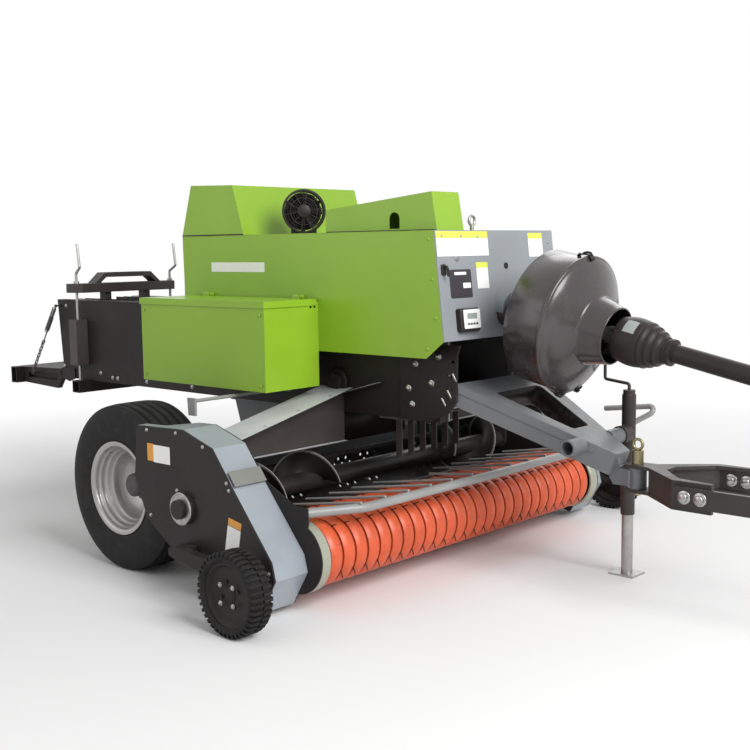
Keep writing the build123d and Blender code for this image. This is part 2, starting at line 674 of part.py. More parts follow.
def rear_panel():
    """Rear wall of the body, cut out over the bale chamber."""
    x = (BODY_REAR_X, BODY_REAR_X + SHEET)
    half = BODY_HALF_W - SHEET
    wall = block(x, (-half, half), (BODY_LOW_Z, BODY_TOP_Z - SHEET))
    notch = CHAMBER_HALF_W + 2.0
    return wall - block((x[0] - 20, x[1] + 20), (-notch, notch), (BODY_LOW_Z - 1, CHAMBER_TOP_Z + 2))


def body_frame():
    """Sills along both sides of the chamber, with cross members over it and corner posts."""
    out = BODY_HALF_W - SHEET
    rear = BODY_REAR_X + SHEET
    front = CHAMFER_X - 10.0
    sill = block((rear, front), (-out, -out + SILL_W), (BODY_LOW_Z, BODY_LOW_Z + SILL_H))
    sill -= block((rear - 1, front + 1), (-out + SKIN, -out + SILL_W - SKIN),
                  (BODY_LOW_Z + SKIN, BODY_LOW_Z + SILL_H - SKIN))
    link = block((rear + 40, front - 40), (-out + SILL_W, -CHAMBER_HALF_W),
                 (BODY_LOW_Z + SILL_H - SKIN, BODY_LOW_Z + SILL_H))
    frame = sill + link
    for x in (rear + 2, front - 52):
        frame += block((x, x + 50), (-out, -out + 50), (BODY_LOW_Z + SILL_H, BODY_TOP_Z - SHEET))
    frame += left_of(frame)
    for x in (rear + 2, front - 52):
        frame += block((x, x + 50), (-out + 50, out - 50), (BODY_TOP_Z - SHEET - 50, BODY_TOP_Z - SHEET))
    return frame


keep("front_plate", front_plate())
keep("top_deck", top_deck())
keep("body_frame", body_frame() + rear_panel())

HOOD_TOP_REAR = (-295.0, 1765.0)
HOOD_TOP_FRONT = (20.0, 1754.0)
HOOD_LOW_FRONT_X = 95.0


def rear_hood():
    """Hood over the knotters: two sides, a back, a top and a sloping front."""
    shell = plate_xz([(BODY_REAR_X, BODY_TOP_Z), HOOD_TOP_REAR, HOOD_TOP_FRONT,
                      (HOOD_LOW_FRONT_X, BODY_TOP_Z)], -BODY_HALF_W, BODY_HALF_W)
    inner = plate_xz([(BODY_REAR_X + SHEET, BODY_TOP_Z - 1),
                      (HOOD_TOP_REAR[0] + SHEET, HOOD_TOP_REAR[1] - SHEET),
                      (HOOD_TOP_FRONT[0] - SHEET, HOOD_TOP_FRONT[1] - SHEET),
                      (HOOD_LOW_FRONT_X - SHEET, BODY_TOP_Z - 1)],
                     -BODY_HALF_W + SHEET, BODY_HALF_W - SHEET)
    return shell - inner


WEDGE_Y = (-380.0, -200.0)
WEDGE_REAR_X = 604.0
WEDGE_FRONT = (1224.0, 1676.0)
WEDGE_LOW_FRONT_X = 1253.0
WEDGE_REAR_Z = 1617.0


def front_hood():
    """Wedge-shaped hood on the deck, open at the back, with an arched hand hole in its side."""
    shell = plate_xz([(WEDGE_REAR_X, BODY_TOP_Z), (WEDGE_REAR_X, WEDGE_REAR_Z), WEDGE_FRONT,
                      (WEDGE_LOW_FRONT_X, BODY_TOP_Z)], *WEDGE_Y)
    shell -= plate_xz([(WEDGE_REAR_X - 1, BODY_TOP_Z - 1), (WEDGE_REAR_X - 1, WEDGE_REAR_Z - SHEET),
                       (WEDGE_FRONT[0] - SHEET, WEDGE_FRONT[1] - SHEET),
                       (WEDGE_LOW_FRONT_X - SHEET, BODY_TOP_Z - 1)],
                      WEDGE_Y[0] + SHEET, WEDGE_Y[1] - SHEET)
    hole_x = 1017.0
    hole_r = 30.0
    hole_z = BODY_TOP_Z + 50.0
    arch = Pos(hole_x, WEDGE_Y[0], hole_z) * Rot(90, 0, 0) * Cylinder(hole_r, 3 * SHEET)
    arch += block((hole_x - hole_r, hole_x + hole_r), (WEDGE_Y[0] - 6, WEDGE_Y[0] + 6),
                  (BODY_TOP_Z + 10, hole_z))
    return shell - arch


keep("rear_hood", rear_hood())
keep("front_hood", front_hood())

FAN_X = 300.0
FAN_Y = -225.0
FAN_R = 100.0
FAN_TURN = -40.0               # the fan looks forward and to the right
FAN_DEPTH = 70.0
FAN_BLADES = 6
FAN_Z = BODY_TOP_Z + FAN_R + 8.0


def on_fan(shape):
    """Set a shape that was turned about X at the knotter fan."""
    return Pos(FAN_X, FAN_Y, FAN_Z) * Rot(0, 0, FAN_TURN) * shape


def fan_shroud():
    """Fan ring with its foot and a guard of spokes in front of the rotor."""
    ring = turned([(-FAN_DEPTH / 2, FAN_R - 6), (-FAN_DEPTH / 2, FAN_R), (FAN_DEPTH / 2 - 8, FAN_R),
                   (FAN_DEPTH / 2, FAN_R + 5), (FAN_DEPTH / 2, FAN_R - 6)])
    guard = turned([(FAN_DEPTH / 2 - 4, 0), (FAN_DEPTH / 2 - 4, 30), (FAN_DEPTH / 2, 30),
                    (FAN_DEPTH / 2, 0)])
    guard += turned([(FAN_DEPTH / 2 - 4, 62), (FAN_DEPTH / 2 - 4, 67), (FAN_DEPTH / 2, 67),
                     (FAN_DEPTH / 2, 62)])
    for index in range(10):
        spoke = block((FAN_DEPTH / 2 - 4, FAN_DEPTH / 2), (28, FAN_R - 3), (-2.5, 2.5))
        guard += Rot(36 * index + 9, 0, 0) * spoke
    stay = turned([(-FAN_DEPTH / 2, 0), (-FAN_DEPTH / 2, 24), (10 - FAN_DEPTH / 2, 24),
                   (10 - FAN_DEPTH / 2, 8), (FAN_DEPTH / 2 - 4, 8), (FAN_DEPTH / 2 - 4, 0)])
    for index in range(3):
        arm = block((-FAN_DEPTH / 2, 8 - FAN_DEPTH / 2), (20, FAN_R - 3), (-8, 8))
        stay += Rot(120 * index + 30, 0, 0) * arm
    foot = block((-FAN_DEPTH / 2, FAN_DEPTH / 2 - 8), (-60, 60), (BODY_TOP_Z - FAN_Z, -FAN_R + 20))
    foot -= turned([(-FAN_DEPTH, 0), (-FAN_DEPTH, FAN_R - 3), (FAN_DEPTH, FAN_R - 3), (FAN_DEPTH, 0)])
    return on_fan(ring + guard + stay + foot)


def fan_rotor():
    """Fan hub, running on the shroud's stub, with its raked blades."""
    hub_r = 26.0
    bore = 8 + RUNNING_FIT
    rotor = turned([(-18, bore), (-18, hub_r), (22, hub_r), (22, bore)])
    for index in range(FAN_BLADES):
        blade = Pos(2, (hub_r + FAN_R - 14) / 2, 0) * Rot(0, 35, 0) * Box(44, FAN_R - 14 - hub_r + 4, 3)
        rotor += Rot(360 / FAN_BLADES * index, 0, 0) * blade
    return on_fan(rotor)


keep("fan_shroud", fan_shroud())
keep("fan_rotor", fan_rotor())

EYE_X = 1235.0
EYE_Y = -120.0
EYE_R = 20.0


def lifting_eye():
    """Eye bolt on the deck for lifting the machine's front."""
    eye = Pos(EYE_X, EYE_Y, BODY_TOP_Z + 42) * Rot(0, 90, 0) * Torus(EYE_R, 6)
    stem = Pos(EYE_X, EYE_Y, BODY_TOP_Z + 12) * Cylinder(9, 24)
    return eye + stem


keep("lifting_eye", lifting_eye())

BOX_X = (-291.0, 594.0)
BOX_DEPTH = 336.0              # of the twine box, out from the body's side
BOX_Y = (-BODY_HALF_W - BOX_DEPTH, -BODY_HALF_W)
BOX_Z = (821.0, 1205.0)
LID_T = 22.0


def twine_box():
    """Twine box on the body's side, open at the top."""
    box = block(BOX_X, (BOX_Y[0] + 6, BOX_Y[1]), BOX_Z)
    box -= block((BOX_X[0] + SHEET, BOX_X[1] - SHEET), (BOX_Y[0] + 6 + SHEET, BOX_Y[1] - SHEET),
                 (BOX_Z[0] + SHEET, BOX_Z[1] + 1))
    for hole_y in (BOX_Y[1] - 22, BOX_Y[1] - 46):
        box -= Pos(BOX_X[1], hole_y, BOX_Z[1] - 22) * Rot(0, 90, 0) * Cylinder(6, 40)
    return box


HINGE_R = 9.0
HINGE_PIN_R = 5.0
LID_HINGE_Y = BOX_Y[1] - 16.0
LID_HINGE_Z = BOX_Z[1] + LID_T + 1.0


def twine_lid():
    """Lid of the twine box, with a lip all round and two hinge eyes along the body."""
    z = BOX_Z[1] + 0.3
    lid = block((BOX_X[0] - 6, BOX_X[1] + 6), (BOX_Y[0], LID_HINGE_Y), (z - 16, z + LID_T - 8))
    lid -= block((BOX_X[0] - 2, BOX_X[1] + 2), (BOX_Y[0] + 4, BOX_Y[1]), (z - 17, z))
    for x in (BOX_X[0] + 120, BOX_X[1] - 120):
        lid -= block((x - 36, x + 36), (LID_HINGE_Y - 12, BOX_Y[1]), (z - 1, LID_HINGE_Z))
        lid += block((x - 22, x + 22), (LID_HINGE_Y - 13, LID_HINGE_Y), (z, LID_HINGE_Z))
        lid += rod((x - 22, LID_HINGE_Y, LID_HINGE_Z), (x + 22, LID_HINGE_Y, LID_HINGE_Z), HINGE_R)
        lid -= rod((x - 23, LID_HINGE_Y, LID_HINGE_Z), (x + 23, LID_HINGE_Y, LID_HINGE_Z),
                   HINGE_PIN_R + RUNNING_FIT)
    return lid


def lid_hinges():
    """Hinge pins of the twine box's lid, each held by an ear on the body's side."""
    hinges = []
    for x in (BOX_X[0] + 120, BOX_X[1] - 120):
        pin = rod((x - 36, LID_HINGE_Y, LID_HINGE_Z), (x + 36, LID_HINGE_Y, LID_HINGE_Z), HINGE_PIN_R)
        for ear_x in (x - 32, x + 26):
            pin += block((ear_x, ear_x + 6), (LID_HINGE_Y - 8, -BODY_HALF_W),
                         (LID_HINGE_Z - 8, LID_HINGE_Z + 8))
        hinges.append(pin)
    return Compound([solid for hinge in hinges for solid in hinge.solids()])


def side_panels():
    """Both side panels, the right one with the lid's hinge pins on it."""
    right = side_panel() + lid_hinges()
    return Compound([*right.solids(), *left_of(side_panel()).solids()])


keep("side_panels", side_panels())
keep("twine_box", twine_box())
keep("twine_lid", twine_lid())

# --- Driveline ------------------------------------------------------------------------------


def cover_profile(inset):
    """Outside of the cover as (along, radius) points, or its inside, inset by the wall: a shaft
    housing, a drum, a domed front that falls by a power of its length, and a tapered neck."""
    dome = []
    for step in range(7):
        share = step / 6
        dome.append((DOME_X[0] + (DOME_X[1] - DOME_X[0]) * share - inset,
                     DOME_R[0] + (DOME_R[1] - DOME_R[0]) * share ** DOME_POWER - inset))
    rolled = [] if inset else [(-14, COVER_R + 3), (-12, COVER_R + 10), (4, COVER_R + 10)]
    rear = PLATE_ALONG - HOUSING_REACH - inset
    return [(rear, 0), (rear, HOUSING_R - inset),
            (inset - COVER_DEPTH, HOUSING_R - inset), (inset - COVER_DEPTH, COVER_R - inset),
            *rolled, *dome, (DOME_X[1] + 8 - inset, NECK_ROOT_R - inset),
            (NECK_X + inset, NECK_R - inset), (NECK_X + inset, 0)]


def flywheel_cover():
    """Round moulded cover: a drum in front of its shaft housing, which is cut off along the front
    plate, with a rolled rim, a domed front and a neck round the driveline."""
    cover = on_drive(turned(cover_profile(0)), 0) - on_drive(turned(cover_profile(COVER_WALL)), 0)
    top_z = COVER_Z + 2 * COVER_R
    low_z = COVER_Z - 2 * COVER_R
    behind = plate_xz([(plate_x(top_z), top_z), (plate_x(low_z), low_z), (0, low_z), (0, top_z)],
                      -2 * COVER_R, 2 * COVER_R)
    return cover - behind


FLYWHEEL_X = -150.0            # rear face of the flywheel, from the cover's rim
REAR_YOKE = 66.0
REAR_CROSS = REAR_YOKE + YOKE_L
REAR_TUBE = REAR_CROSS + YOKE_L - 6.0


def flywheel():
    """Flywheel as one heavy disc, with the shaft behind it that runs in the front plate's
    bearing, and its hub, which ends at the driveline's rear yoke."""
    return on_drive(turned([(BEARING[0], 0), (BEARING[0], INPUT_R), (FLYWHEEL_X, INPUT_R),
                            (FLYWHEEL_X, FLYWHEEL_R),
                            (FLYWHEEL_X + FLYWHEEL_W, FLYWHEEL_R), (FLYWHEEL_X + FLYWHEEL_W, 70),
                            (REAR_YOKE, 70), (REAR_YOKE, 0)]), 0)


keep("flywheel_cover", flywheel_cover())
keep("flywheel", flywheel())

BELL_START = 216.0
BELL_L = 211.0
GUARD_RING_X = 270.0           # rear guard's bearing ring on the shaft's tube
REAR_GUARD_END = 1060.0
FRONT_GUARD_START = 820.0
FRONT_BELL_END = DRIVE_END - 62.0
TUBE_R = 24.0
BAR_R = 16.5
COLLAR_R = 28.0
EAR_T = 12.0


def yoke(root, turn=0):
    """Fork of a universal joint: a hub and two ears that reach just past the cross."""
    body = turned([(0, 0), (0, YOKE_R), (46, YOKE_R), (46, 0)])
    for side in (-1, 1):
        low, high = sorted((side * YOKE_R, side * (YOKE_R - EAR_T)))
        body += block((44, YOKE_L + 14), (low, high), (-20, 20))
    return Pos(root, 0, 0) * Rot(turn, 0, 0) * body


def joint_cross(along):
    """Cross of a universal joint, with its four journals in the yokes' ears."""
    journal = Cylinder(11, 2 * YOKE_R - 2)
    return Pos(along, 0, 0) * (Rot(90, 0, 0) * journal + journal)


def facing_yoke(root, turn=0):
    """The same fork with its ears pointing to the rear."""
    return Pos(root, 0, 0) * Rot(0, 0, 180) * yoke(0, turn)


def drive_shaft():
    """Rear half of the telescoping shaft: two yokes with their cross and a tube."""
    tube = turned([(REAR_TUBE, 0), (REAR_TUBE, TUBE_R), (FRONT_GUARD_START - 30, TUBE_R),
                   (FRONT_GUARD_START - 30, TUBE_R - 3), (REAR_GUARD_END - 10, TUBE_R - 3),
                   (REAR_GUARD_END - 10, BAR_R + 0.5), (REAR_TUBE + 60, BAR_R + 0.5),
                   (REAR_TUBE + 60, 0)])
    rear = yoke(REAR_YOKE) + facing_yoke(REAR_CROSS + YOKE_L, 90)
    return on_drive(rear + joint_cross(REAR_CROSS) + tube, 0)


def shaft_front():
    """Front half of the telescoping shaft, sliding in the rear half, with its quick-fit yoke."""
    root = DRIVE_END - 2 * YOKE_L
    collar = (root - 150, root + 2)
    bar = turned([(FRONT_GUARD_START - 200, 0), (FRONT_GUARD_START - 200, BAR_R),
                  (collar[0], BAR_R), (collar[0], COLLAR_R), (collar[1], COLLAR_R), (collar[1], 0)])
    quick_fit = facing_yoke(DRIVE_END, 90)
    quick_fit -= Pos(DRIVE_END - 22, 0, 0) * Rot(0, 90, 0) * Cylinder(SHAFT_R, 46)
    return on_drive(bar + yoke(root) + joint_cross(DRIVE_END - YOKE_L) + quick_fit, 0)


def guard_rear():
    """Rear guard: a stepped bell over the joint and the outer guard tube."""
    end = BELL_START + BELL_L
    tube_in = GUARD_R - GUARD_WALL
    wall = GUARD_WALL
    outer = [(BELL_START, BELL_R), (BELL_START + 34, BELL_R), (BELL_START + 40, BELL_R - 14),
             (BELL_START + 74, BELL_R - 18), (BELL_START + 80, BELL_R - 32),
             (BELL_START + 116, BELL_R - 36), (end, GUARD_R), (REAR_GUARD_END, GUARD_R)]
    inner = [(REAR_GUARD_END, tube_in), (end, tube_in), (BELL_START + 116 - wall, BELL_R - 36 - wall),
             (BELL_START + 80 - wall, BELL_R - 32 - wall), (BELL_START + 74 - wall, BELL_R - 18 - wall),
             (BELL_START + 40 - wall, BELL_R - 14 - wall), (BELL_START + 34 - wall, BELL_R - wall),
             (BELL_START, BELL_R - wall)]
    ring = turned([(GUARD_RING_X, BELL_R - 18), (GUARD_RING_X, TUBE_R + RUNNING_FIT),
                   (GUARD_RING_X + 8, TUBE_R + RUNNING_FIT), (GUARD_RING_X + 8, BELL_R - 18)])
    return on_drive(turned(outer + inner) + ring, 0)


def guard_front():
    """Front guard: the inner guard tube and the bell over the front joint."""
    tube = GUARD_R - GUARD_WALL - GUARD_GAP
    wall = GUARD_WALL
    end = FRONT_BELL_END
    start = end - 170
    outer = [(FRONT_GUARD_START, tube), (start, tube), (start + 50, 64), (start + 86, 68),
             (start + 92, 82), (start + 128, 86), (start + 134, BELL_R), (end, BELL_R)]
    inner = [(end, BELL_R - wall), (start + 134 + wall, BELL_R - wall), (start + 128 + wall, 86 - wall),
             (start + 92 + wall, 82 - wall), (start + 86 + wall, 68 - wall), (start + 50 + wall, 64 - wall),
             (start + wall, tube - wall), (FRONT_GUARD_START, tube - wall)]
    ring = turned([(start - 20, tube - wall + 1), (start - 20, COLLAR_R + RUNNING_FIT),
                   (start - 12, COLLAR_R + RUNNING_FIT), (start - 12, tube - wall + 1)])
    return on_drive(turned(outer + inner) + ring, 0)


keep("drive_shaft", drive_shaft())
keep("shaft_front", shaft_front())
keep("guard_rear", guard_rear())
keep("guard_front", guard_front())


# --- Drawbar, hitch and jack ----------------------------------------------------------------
NOSE_X = PIN_X - 66.0
DRAW_PLANE = Plane(origin=(DRAW_X, 0, DRAW_Z),
                   x_dir=(cos(radians(DRAW_SLOPE)), 0, -sin(radians(DRAW_SLOPE))),
                   z_dir=(sin(radians(DRAW_SLOPE)), 0, cos(radians(DRAW_SLOPE))))
DRAW_LENGTH = (NOSE_X - DRAW_X) / cos(radians(DRAW_SLOPE))
BARREL_R = 38.0
NECK_GAP = 8.0                 # between the nose's neck and each plate of the hitch yoke
YOKE_T = 14.0
YOKE_FRONT_X = 2400.0


def leg_half_width(along):
    """Half of the drawbar's width at this distance down its slope."""
    return DRAW_HALF_W + (NOSE_HALF_W - DRAW_HALF_W) * along / DRAW_LENGTH


WINDOW = (110.0, 0.68 * DRAW_LENGTH)


def draw_window(grow=0.0):
    """Outline of the drawbar's window, between its two legs."""
    start, end = WINDOW
    start_half = leg_half_width(start) - LEG_W
    end_half = leg_half_width(end) - LEG_W + 18
    shape = Polygon((start, -start_half), (end, -end_half), (end, end_half), (start, start_half),
                    align=None)
    shape = fillet(shape.vertices(), 22)
    return offset(shape, grow) if grow else shape


def drawbar():
    """Welded drawbar: an A-shaped box with a rounded window, open at its rear end, with the
    upright barrel for the hitch pin at its nose and a tube stub on each leg for the jack."""
    length = DRAW_LENGTH
    wall = DRAW_WALL
    nose = NOSE_HALF_W
    shape = Polygon((0, -DRAW_HALF_W), (length, -nose), (length, nose), (0, DRAW_HALF_W), align=None)
    body = extrude(DRAW_PLANE * (shape - draw_window()), -DRAW_DEPTH)
    inset = wall * 1.1
    core_end = length - 2 * nose
    core_half = leg_half_width(core_end) - inset
    rear_half = DRAW_HALF_W - inset
    core = Polygon((-20, -rear_half), (core_end, -core_half), (core_end, core_half), (-20, rear_half),
                   align=None)
    body -= extrude(DRAW_PLANE.offset(-wall) * (core - draw_window(wall)), -(DRAW_DEPTH - 2 * wall))
    barrel_l = YOKE_TOP_Z - YOKE_LOW_Z - 0.6
    middle = (YOKE_LOW_Z + YOKE_TOP_Z) / 2
    body += Pos(PIN_X, 0, middle) * Cylinder(BARREL_R, barrel_l)
    neck_low = YOKE_LOW_Z + NECK_GAP
    neck_top = YOKE_TOP_Z - NECK_GAP
    neck = [(NOSE_X - 70, neck_top), (NOSE_X - 12, neck_top + 55), (NOSE_X, neck_top), (PIN_X, neck_top),
            (PIN_X, neck_low), (NOSE_X - 30, neck_low)]
    body += plate_xz(neck, NECK_GAP - BARREL_R, BARREL_R - NECK_GAP)
    body -= Pos(PIN_X, 0, middle) * Cylinder(PIN_R + RUNNING_FIT, barrel_l + 10)
    jack_half = leg_half_width((JACK_X - DRAW_X) / cos(radians(DRAW_SLOPE)))
    for side in (-1, 1):
        body += rod((JACK_X, side * (jack_half - 6), JACK_Z), (JACK_X, side * STUB_END_Y, JACK_Z), STUB_R)
    for side, radius in ((-1, STUB_BORE_R), (1, TRUNNION_R + RUNNING_FIT)):
        body -= rod((JACK_X, side * (jack_half + 8), JACK_Z),
                    (JACK_X, side * (STUB_END_Y + 1), JACK_Z), radius)
    return body


def drawbar_bracket():
    """Right-hand slotted plate that joins the drawbar to the chamber's side."""
    y = -DRAW_HALF_W
    plate = plate_xz([(980, 1030), (1316, 1030), (1300, 990), (1296, 790), (1258, 740), (1150, 690),
                      (980, 690)], y - BRACKET_T - 0.3, y - 0.3)
    for index in range(3):
        slot = Pos(1270 - 6 * index, y, 960 - 60 * index) * Rot(90, 0, 0)
        plate -= slot * extrude(SlotOverall(36, 12), 3 * BRACKET_T, both=True)
    return plate


BRACKET_T = 10.0
STUB_END_Y = 205.0
keep("drawbar", drawbar())
keep("drawbar_brackets", both(drawbar_bracket()))


def hitch_yoke():
    """Hitch yoke: top and bottom plates on the pin, spreading into two side plates."""
    inside = BAR_Y - BAR_T
    outline = [(PIN_X - 42, -34), (PIN_X + 70, -46), (PIN_X + 255, -BAR_Y), (YOKE_FRONT_X, -BAR_Y),
               (YOKE_FRONT_X, -inside), (PIN_X + 262, -inside + 22), (PIN_X + 150, -40),
               (PIN_X + 150, 40), (PIN_X + 262, inside - 22), (YOKE_FRONT_X, inside),
               (YOKE_FRONT_X, BAR_Y), (PIN_X + 255, BAR_Y), (PIN_X + 70, 46), (PIN_X - 42, 34)]
    top = plate_xy(outline, YOKE_TOP_Z, YOKE_TOP_Z + YOKE_T)
    bottom = plate_xy(outline, YOKE_LOW_Z - YOKE_T, YOKE_LOW_Z)
    web = plate_xy([(PIN_X + 80, -50), (PIN_X + 255, -BAR_Y), (YOKE_FRONT_X, -BAR_Y),
                    (YOKE_FRONT_X, -inside), (PIN_X + 268, -inside), (PIN_X + 105, -40)],
                   YOKE_LOW_Z, YOKE_TOP_Z)
    core = block((PIN_X + 76, PIN_X + 112), (-50, 50), (YOKE_LOW_Z, YOKE_TOP_Z))
    body = top + bottom + web + left_of(web) + core
    return body - Pos(PIN_X, 0, YOKE_LOW_Z) * Cylinder(PIN_R + RUNNING_FIT, 300)


def hitch_bar():
    """Right-hand flat bar bolted outside the yoke, with an eye at its front end."""
    y = -BAR_Y - 0.3
    middle = (YOKE_LOW_Z + YOKE_TOP_Z) / 2
    half = 38.0
    bar = plate_xz([(YOKE_FRONT_X - 150, middle - half), (YOKE_FRONT_X - 150, middle + half),
                    (BAR_FRONT_X, middle + half), (BAR_FRONT_X, middle - half)], y - BAR_T, y)
    eye = Pos(BAR_FRONT_X, y - BAR_T / 2, middle) * Rot(90, 0, 0)
    bar += eye * Cylinder(half, BAR_T)
    return bar - eye * Cylinder(BAR_EYE_R, BAR_T + 2)


def hitch_pin():
    """Hitch pin through yoke and barrel, with a collar and a ring on top."""
    top = YOKE_TOP_Z + YOKE_T
    low = YOKE_LOW_Z - YOKE_T - 14
    collar_l = 56.0
    pin = Pos(PIN_X, 0, (low + top + 1) / 2) * Cylinder(PIN_R, top + 1 - low)
    collar = Pos(PIN_X, 0, top + 0.3 + collar_l / 2) * Cylinder(24, collar_l)
    ring = Pos(PIN_X, 0, top + collar_l + 24) * Rot(90, 0, 0) * Torus(21, 6)
    return pin + collar + ring


keep("hitch_yoke", hitch_yoke())
keep("hitch_bars", both(hitch_bar()))
keep("hitch_pin", hitch_pin())

JACK_FOOT_T = 8.0
JACK_FOOT = (120.0, 110.0)
JACK_LEG_TOP = 420.0
JACK_TUBE_LOW = 270.0
JACK_TUBE_TOP = 800.0
JACK_WALL = 5.0


def jack_tube():
    """Parking jack on the left stub: its trunnion, the outer tube and the crank head."""
    length = JACK_TUBE_TOP - JACK_TUBE_LOW
    middle = (JACK_TUBE_LOW + JACK_TUBE_TOP) / 2
    core = JACK_LEG_R + 0.3
    tube = Pos(JACK_X, JACK_Y, middle) * Cylinder(core + JACK_WALL, length)
    trunnion = rod((JACK_X, 130, JACK_Z), (JACK_X, JACK_Y, JACK_Z), TRUNNION_R)
    collar = rod((JACK_X, STUB_END_Y + 0.3, JACK_Z), (JACK_X, JACK_Y - 20, JACK_Z), STUB_R + 6)
    tube += trunnion + collar
    tube -= Pos(JACK_X, JACK_Y, middle - 10) * Cylinder(core, length)
    head = Pos(JACK_X, JACK_Y, JACK_TUBE_TOP + 10) * Cylinder(26, 20)
    crank_x = JACK_X - 120
    crank = pipe([(JACK_X, JACK_Y, JACK_TUBE_TOP), (JACK_X, JACK_Y, JACK_TUBE_TOP + 46),
                  (crank_x, JACK_Y, JACK_TUBE_TOP + 60), (crank_x, JACK_Y, JACK_TUBE_TOP + 130)],
                 7, 12)
    return tube + head + crank


def jack_leg():
    """Inner leg of the parking jack with its foot plate on the ground."""
    leg = Pos(JACK_X, JACK_Y, (JACK_FOOT_T + JACK_LEG_TOP) / 2) * Cylinder(
        JACK_LEG_R, JACK_LEG_TOP - JACK_FOOT_T)
    leg += block((JACK_X - JACK_FOOT[0] / 2, JACK_X + JACK_FOOT[0] / 2),
                 (JACK_Y - JACK_FOOT[1] / 2, JACK_Y + JACK_FOOT[1] / 2), (0, JACK_FOOT_T))
    return leg


keep("jack_tube", jack_tube())
keep("jack_leg", jack_leg())

# --- Pick-up carriers on the frame ----------------------------------------------------------
WING_X = 620.0
WING_BACK_X = 480.0
WING_Y = 985.0
WING_T = 10.0
WING_LOW_Z = 552.0
WING_OUT_Z = 652.0
WING_IN_Z = 805.0
WING_FLANGE = 62.0


def pickup_wing():
    """Right-hand wing of the frame: a sheet with a sloping top flange and a lower lip, and the
    plate at its end with the hollow pin that the pick-up turns on."""
    inner_y = -CHAMBER_HALF_W - 0.3
    wall = plate_yz([(-WING_Y, WING_LOW_Z), (inner_y, WING_LOW_Z), (inner_y, WING_IN_Z),
                     (-WING_Y, WING_OUT_Z)], WING_X, WING_X + SHEET)
    flange = plate_yz([(-WING_Y, WING_OUT_Z), (inner_y, WING_IN_Z), (inner_y, WING_IN_Z - SHEET),
                       (-WING_Y, WING_OUT_Z - SHEET)], WING_BACK_X, WING_X + WING_FLANGE)
    lip = block((WING_X, WING_X + 30), (-WING_Y, inner_y), (WING_LOW_Z, WING_LOW_Z + SHEET))
    end_y = (-WING_Y - WING_T, -WING_Y)
    boss = PIVOT_R + 16.0
    end = plate_xz([(PIVOT_X - boss, PIVOT_Z), (PIVOT_X - boss - 8, 560), (WING_BACK_X, 600),
                    (WING_BACK_X, WING_OUT_Z), (WING_X + WING_FLANGE, WING_OUT_Z),
                    (WING_X + WING_FLANGE, 590), (PIVOT_X + boss + 8, WING_LOW_Z),
                    (PIVOT_X + boss, PIVOT_Z)], *end_y)
    disc = rod((PIVOT_X, end_y[0], PIVOT_Z), (PIVOT_X, end_y[1], PIVOT_Z), boss)
    pin = rod((PIVOT_X, -SIDE_Y - SIDE_T - 14, PIVOT_Z), (PIVOT_X, end_y[1], PIVOT_Z), PIVOT_R)
    wing = wall + flange + lip + end + disc + pin
    return wing - rod((PIVOT_X, -SIDE_Y - 60, PIVOT_Z), (PIVOT_X, 60 - WING_Y, PIVOT_Z), PIVOT_BORE_R)


keep("pickup_wings", both(pickup_wing()))

LEVER_X = 372.0
LEVER_Z = 792.0
LEVER_Y = -985.0


def lift_shaft():
    """Cross shaft from the body's sill to the lever over the right shield, on its hanger."""
    inner_y = -BODY_HALF_W + 20
    shaft = rod((LEVER_X, LEVER_Y, LEVER_Z), (LEVER_X, inner_y, LEVER_Z), 8)
    lever = plate_xz([(LEVER_X - 26, LEVER_Z + 14), (LEVER_X + 26, LEVER_Z + 14),
                      (LEVER_X + 24, LEVER_Z - 62), (LEVER_X - 20, LEVER_Z - 62)],
                     LEVER_Y - 12, LEVER_Y)
    hanger = plate_xz([(LEVER_X - 30, BODY_LOW_Z), (LEVER_X + 30, BODY_LOW_Z),
                       (LEVER_X + 16, LEVER_Z - 16), (LEVER_X - 16, LEVER_Z - 16)],
                      inner_y - 8, inner_y)
    return shaft + lever + hanger


keep("lift_shaft", lift_shaft())

GUIDE_X = (866.0, 900.0)
GUIDE_LOW_Z = 496.0
GUIDE_PITCH = 83.0


def feeder_guides():
    """Row of upright strips at the mouth of the feeder, under their cross plate."""
    head = block((GUIDE_X[0] - 20, GUIDE_X[1] + 100), (-CHAMBER_HALF_W, CHAMBER_HALF_W),
                 (CHAMBER_LOW_Z - 8, CHAMBER_LOW_Z))
    for index in range(6):
        y = GUIDE_PITCH * (index - 2.5)
        head += block(GUIDE_X, (y - 3, y + 3), (GUIDE_LOW_Z, CHAMBER_LOW_Z - 8))
    return head


keep("feeder_guides", feeder_guides())

# --- Pick-up --------------------------------------------------------------------------------
# Outline of a shield in (x, z), forwards along its top and down its front, then back below.
SHIELD = [(252, 702), (562, 712), (749, 654), (861, 514), (1087, 245), (1106, 173), (1019, 29),
          (490, 184), (303, 303), (224, 477)]
SHIELD_EDGE = 7                # points of that outline that the strip follows
RING_R = BAND_R + 8.0
BAND_HALF = BAND_COUNT * BAND_PITCH / 2
TYRE_GAP = 8.0                 # least room between the pick-up and a main tyre


def shield():
    """Right-hand outer shield with the flanged bearing of the augers on it."""
    outer = -SHIELD_Y - SHIELD_T
    face = plate_xz(SHIELD, outer, -SHIELD_Y)
    flange = rod((PIVOT_X, outer - 10, PIVOT_Z), (PIVOT_X, outer, PIVOT_Z), 68)
    housing = rod((PIVOT_X, outer - 44, PIVOT_Z), (PIVOT_X, outer, PIVOT_Z), 40)
    bore = rod((PIVOT_X, outer - 30, PIVOT_Z), (PIVOT_X, -SHIELD_Y + 1, PIVOT_Z),
               AUGER_SHAFT_R + RUNNING_FIT)
    return face + flange + housing - bore


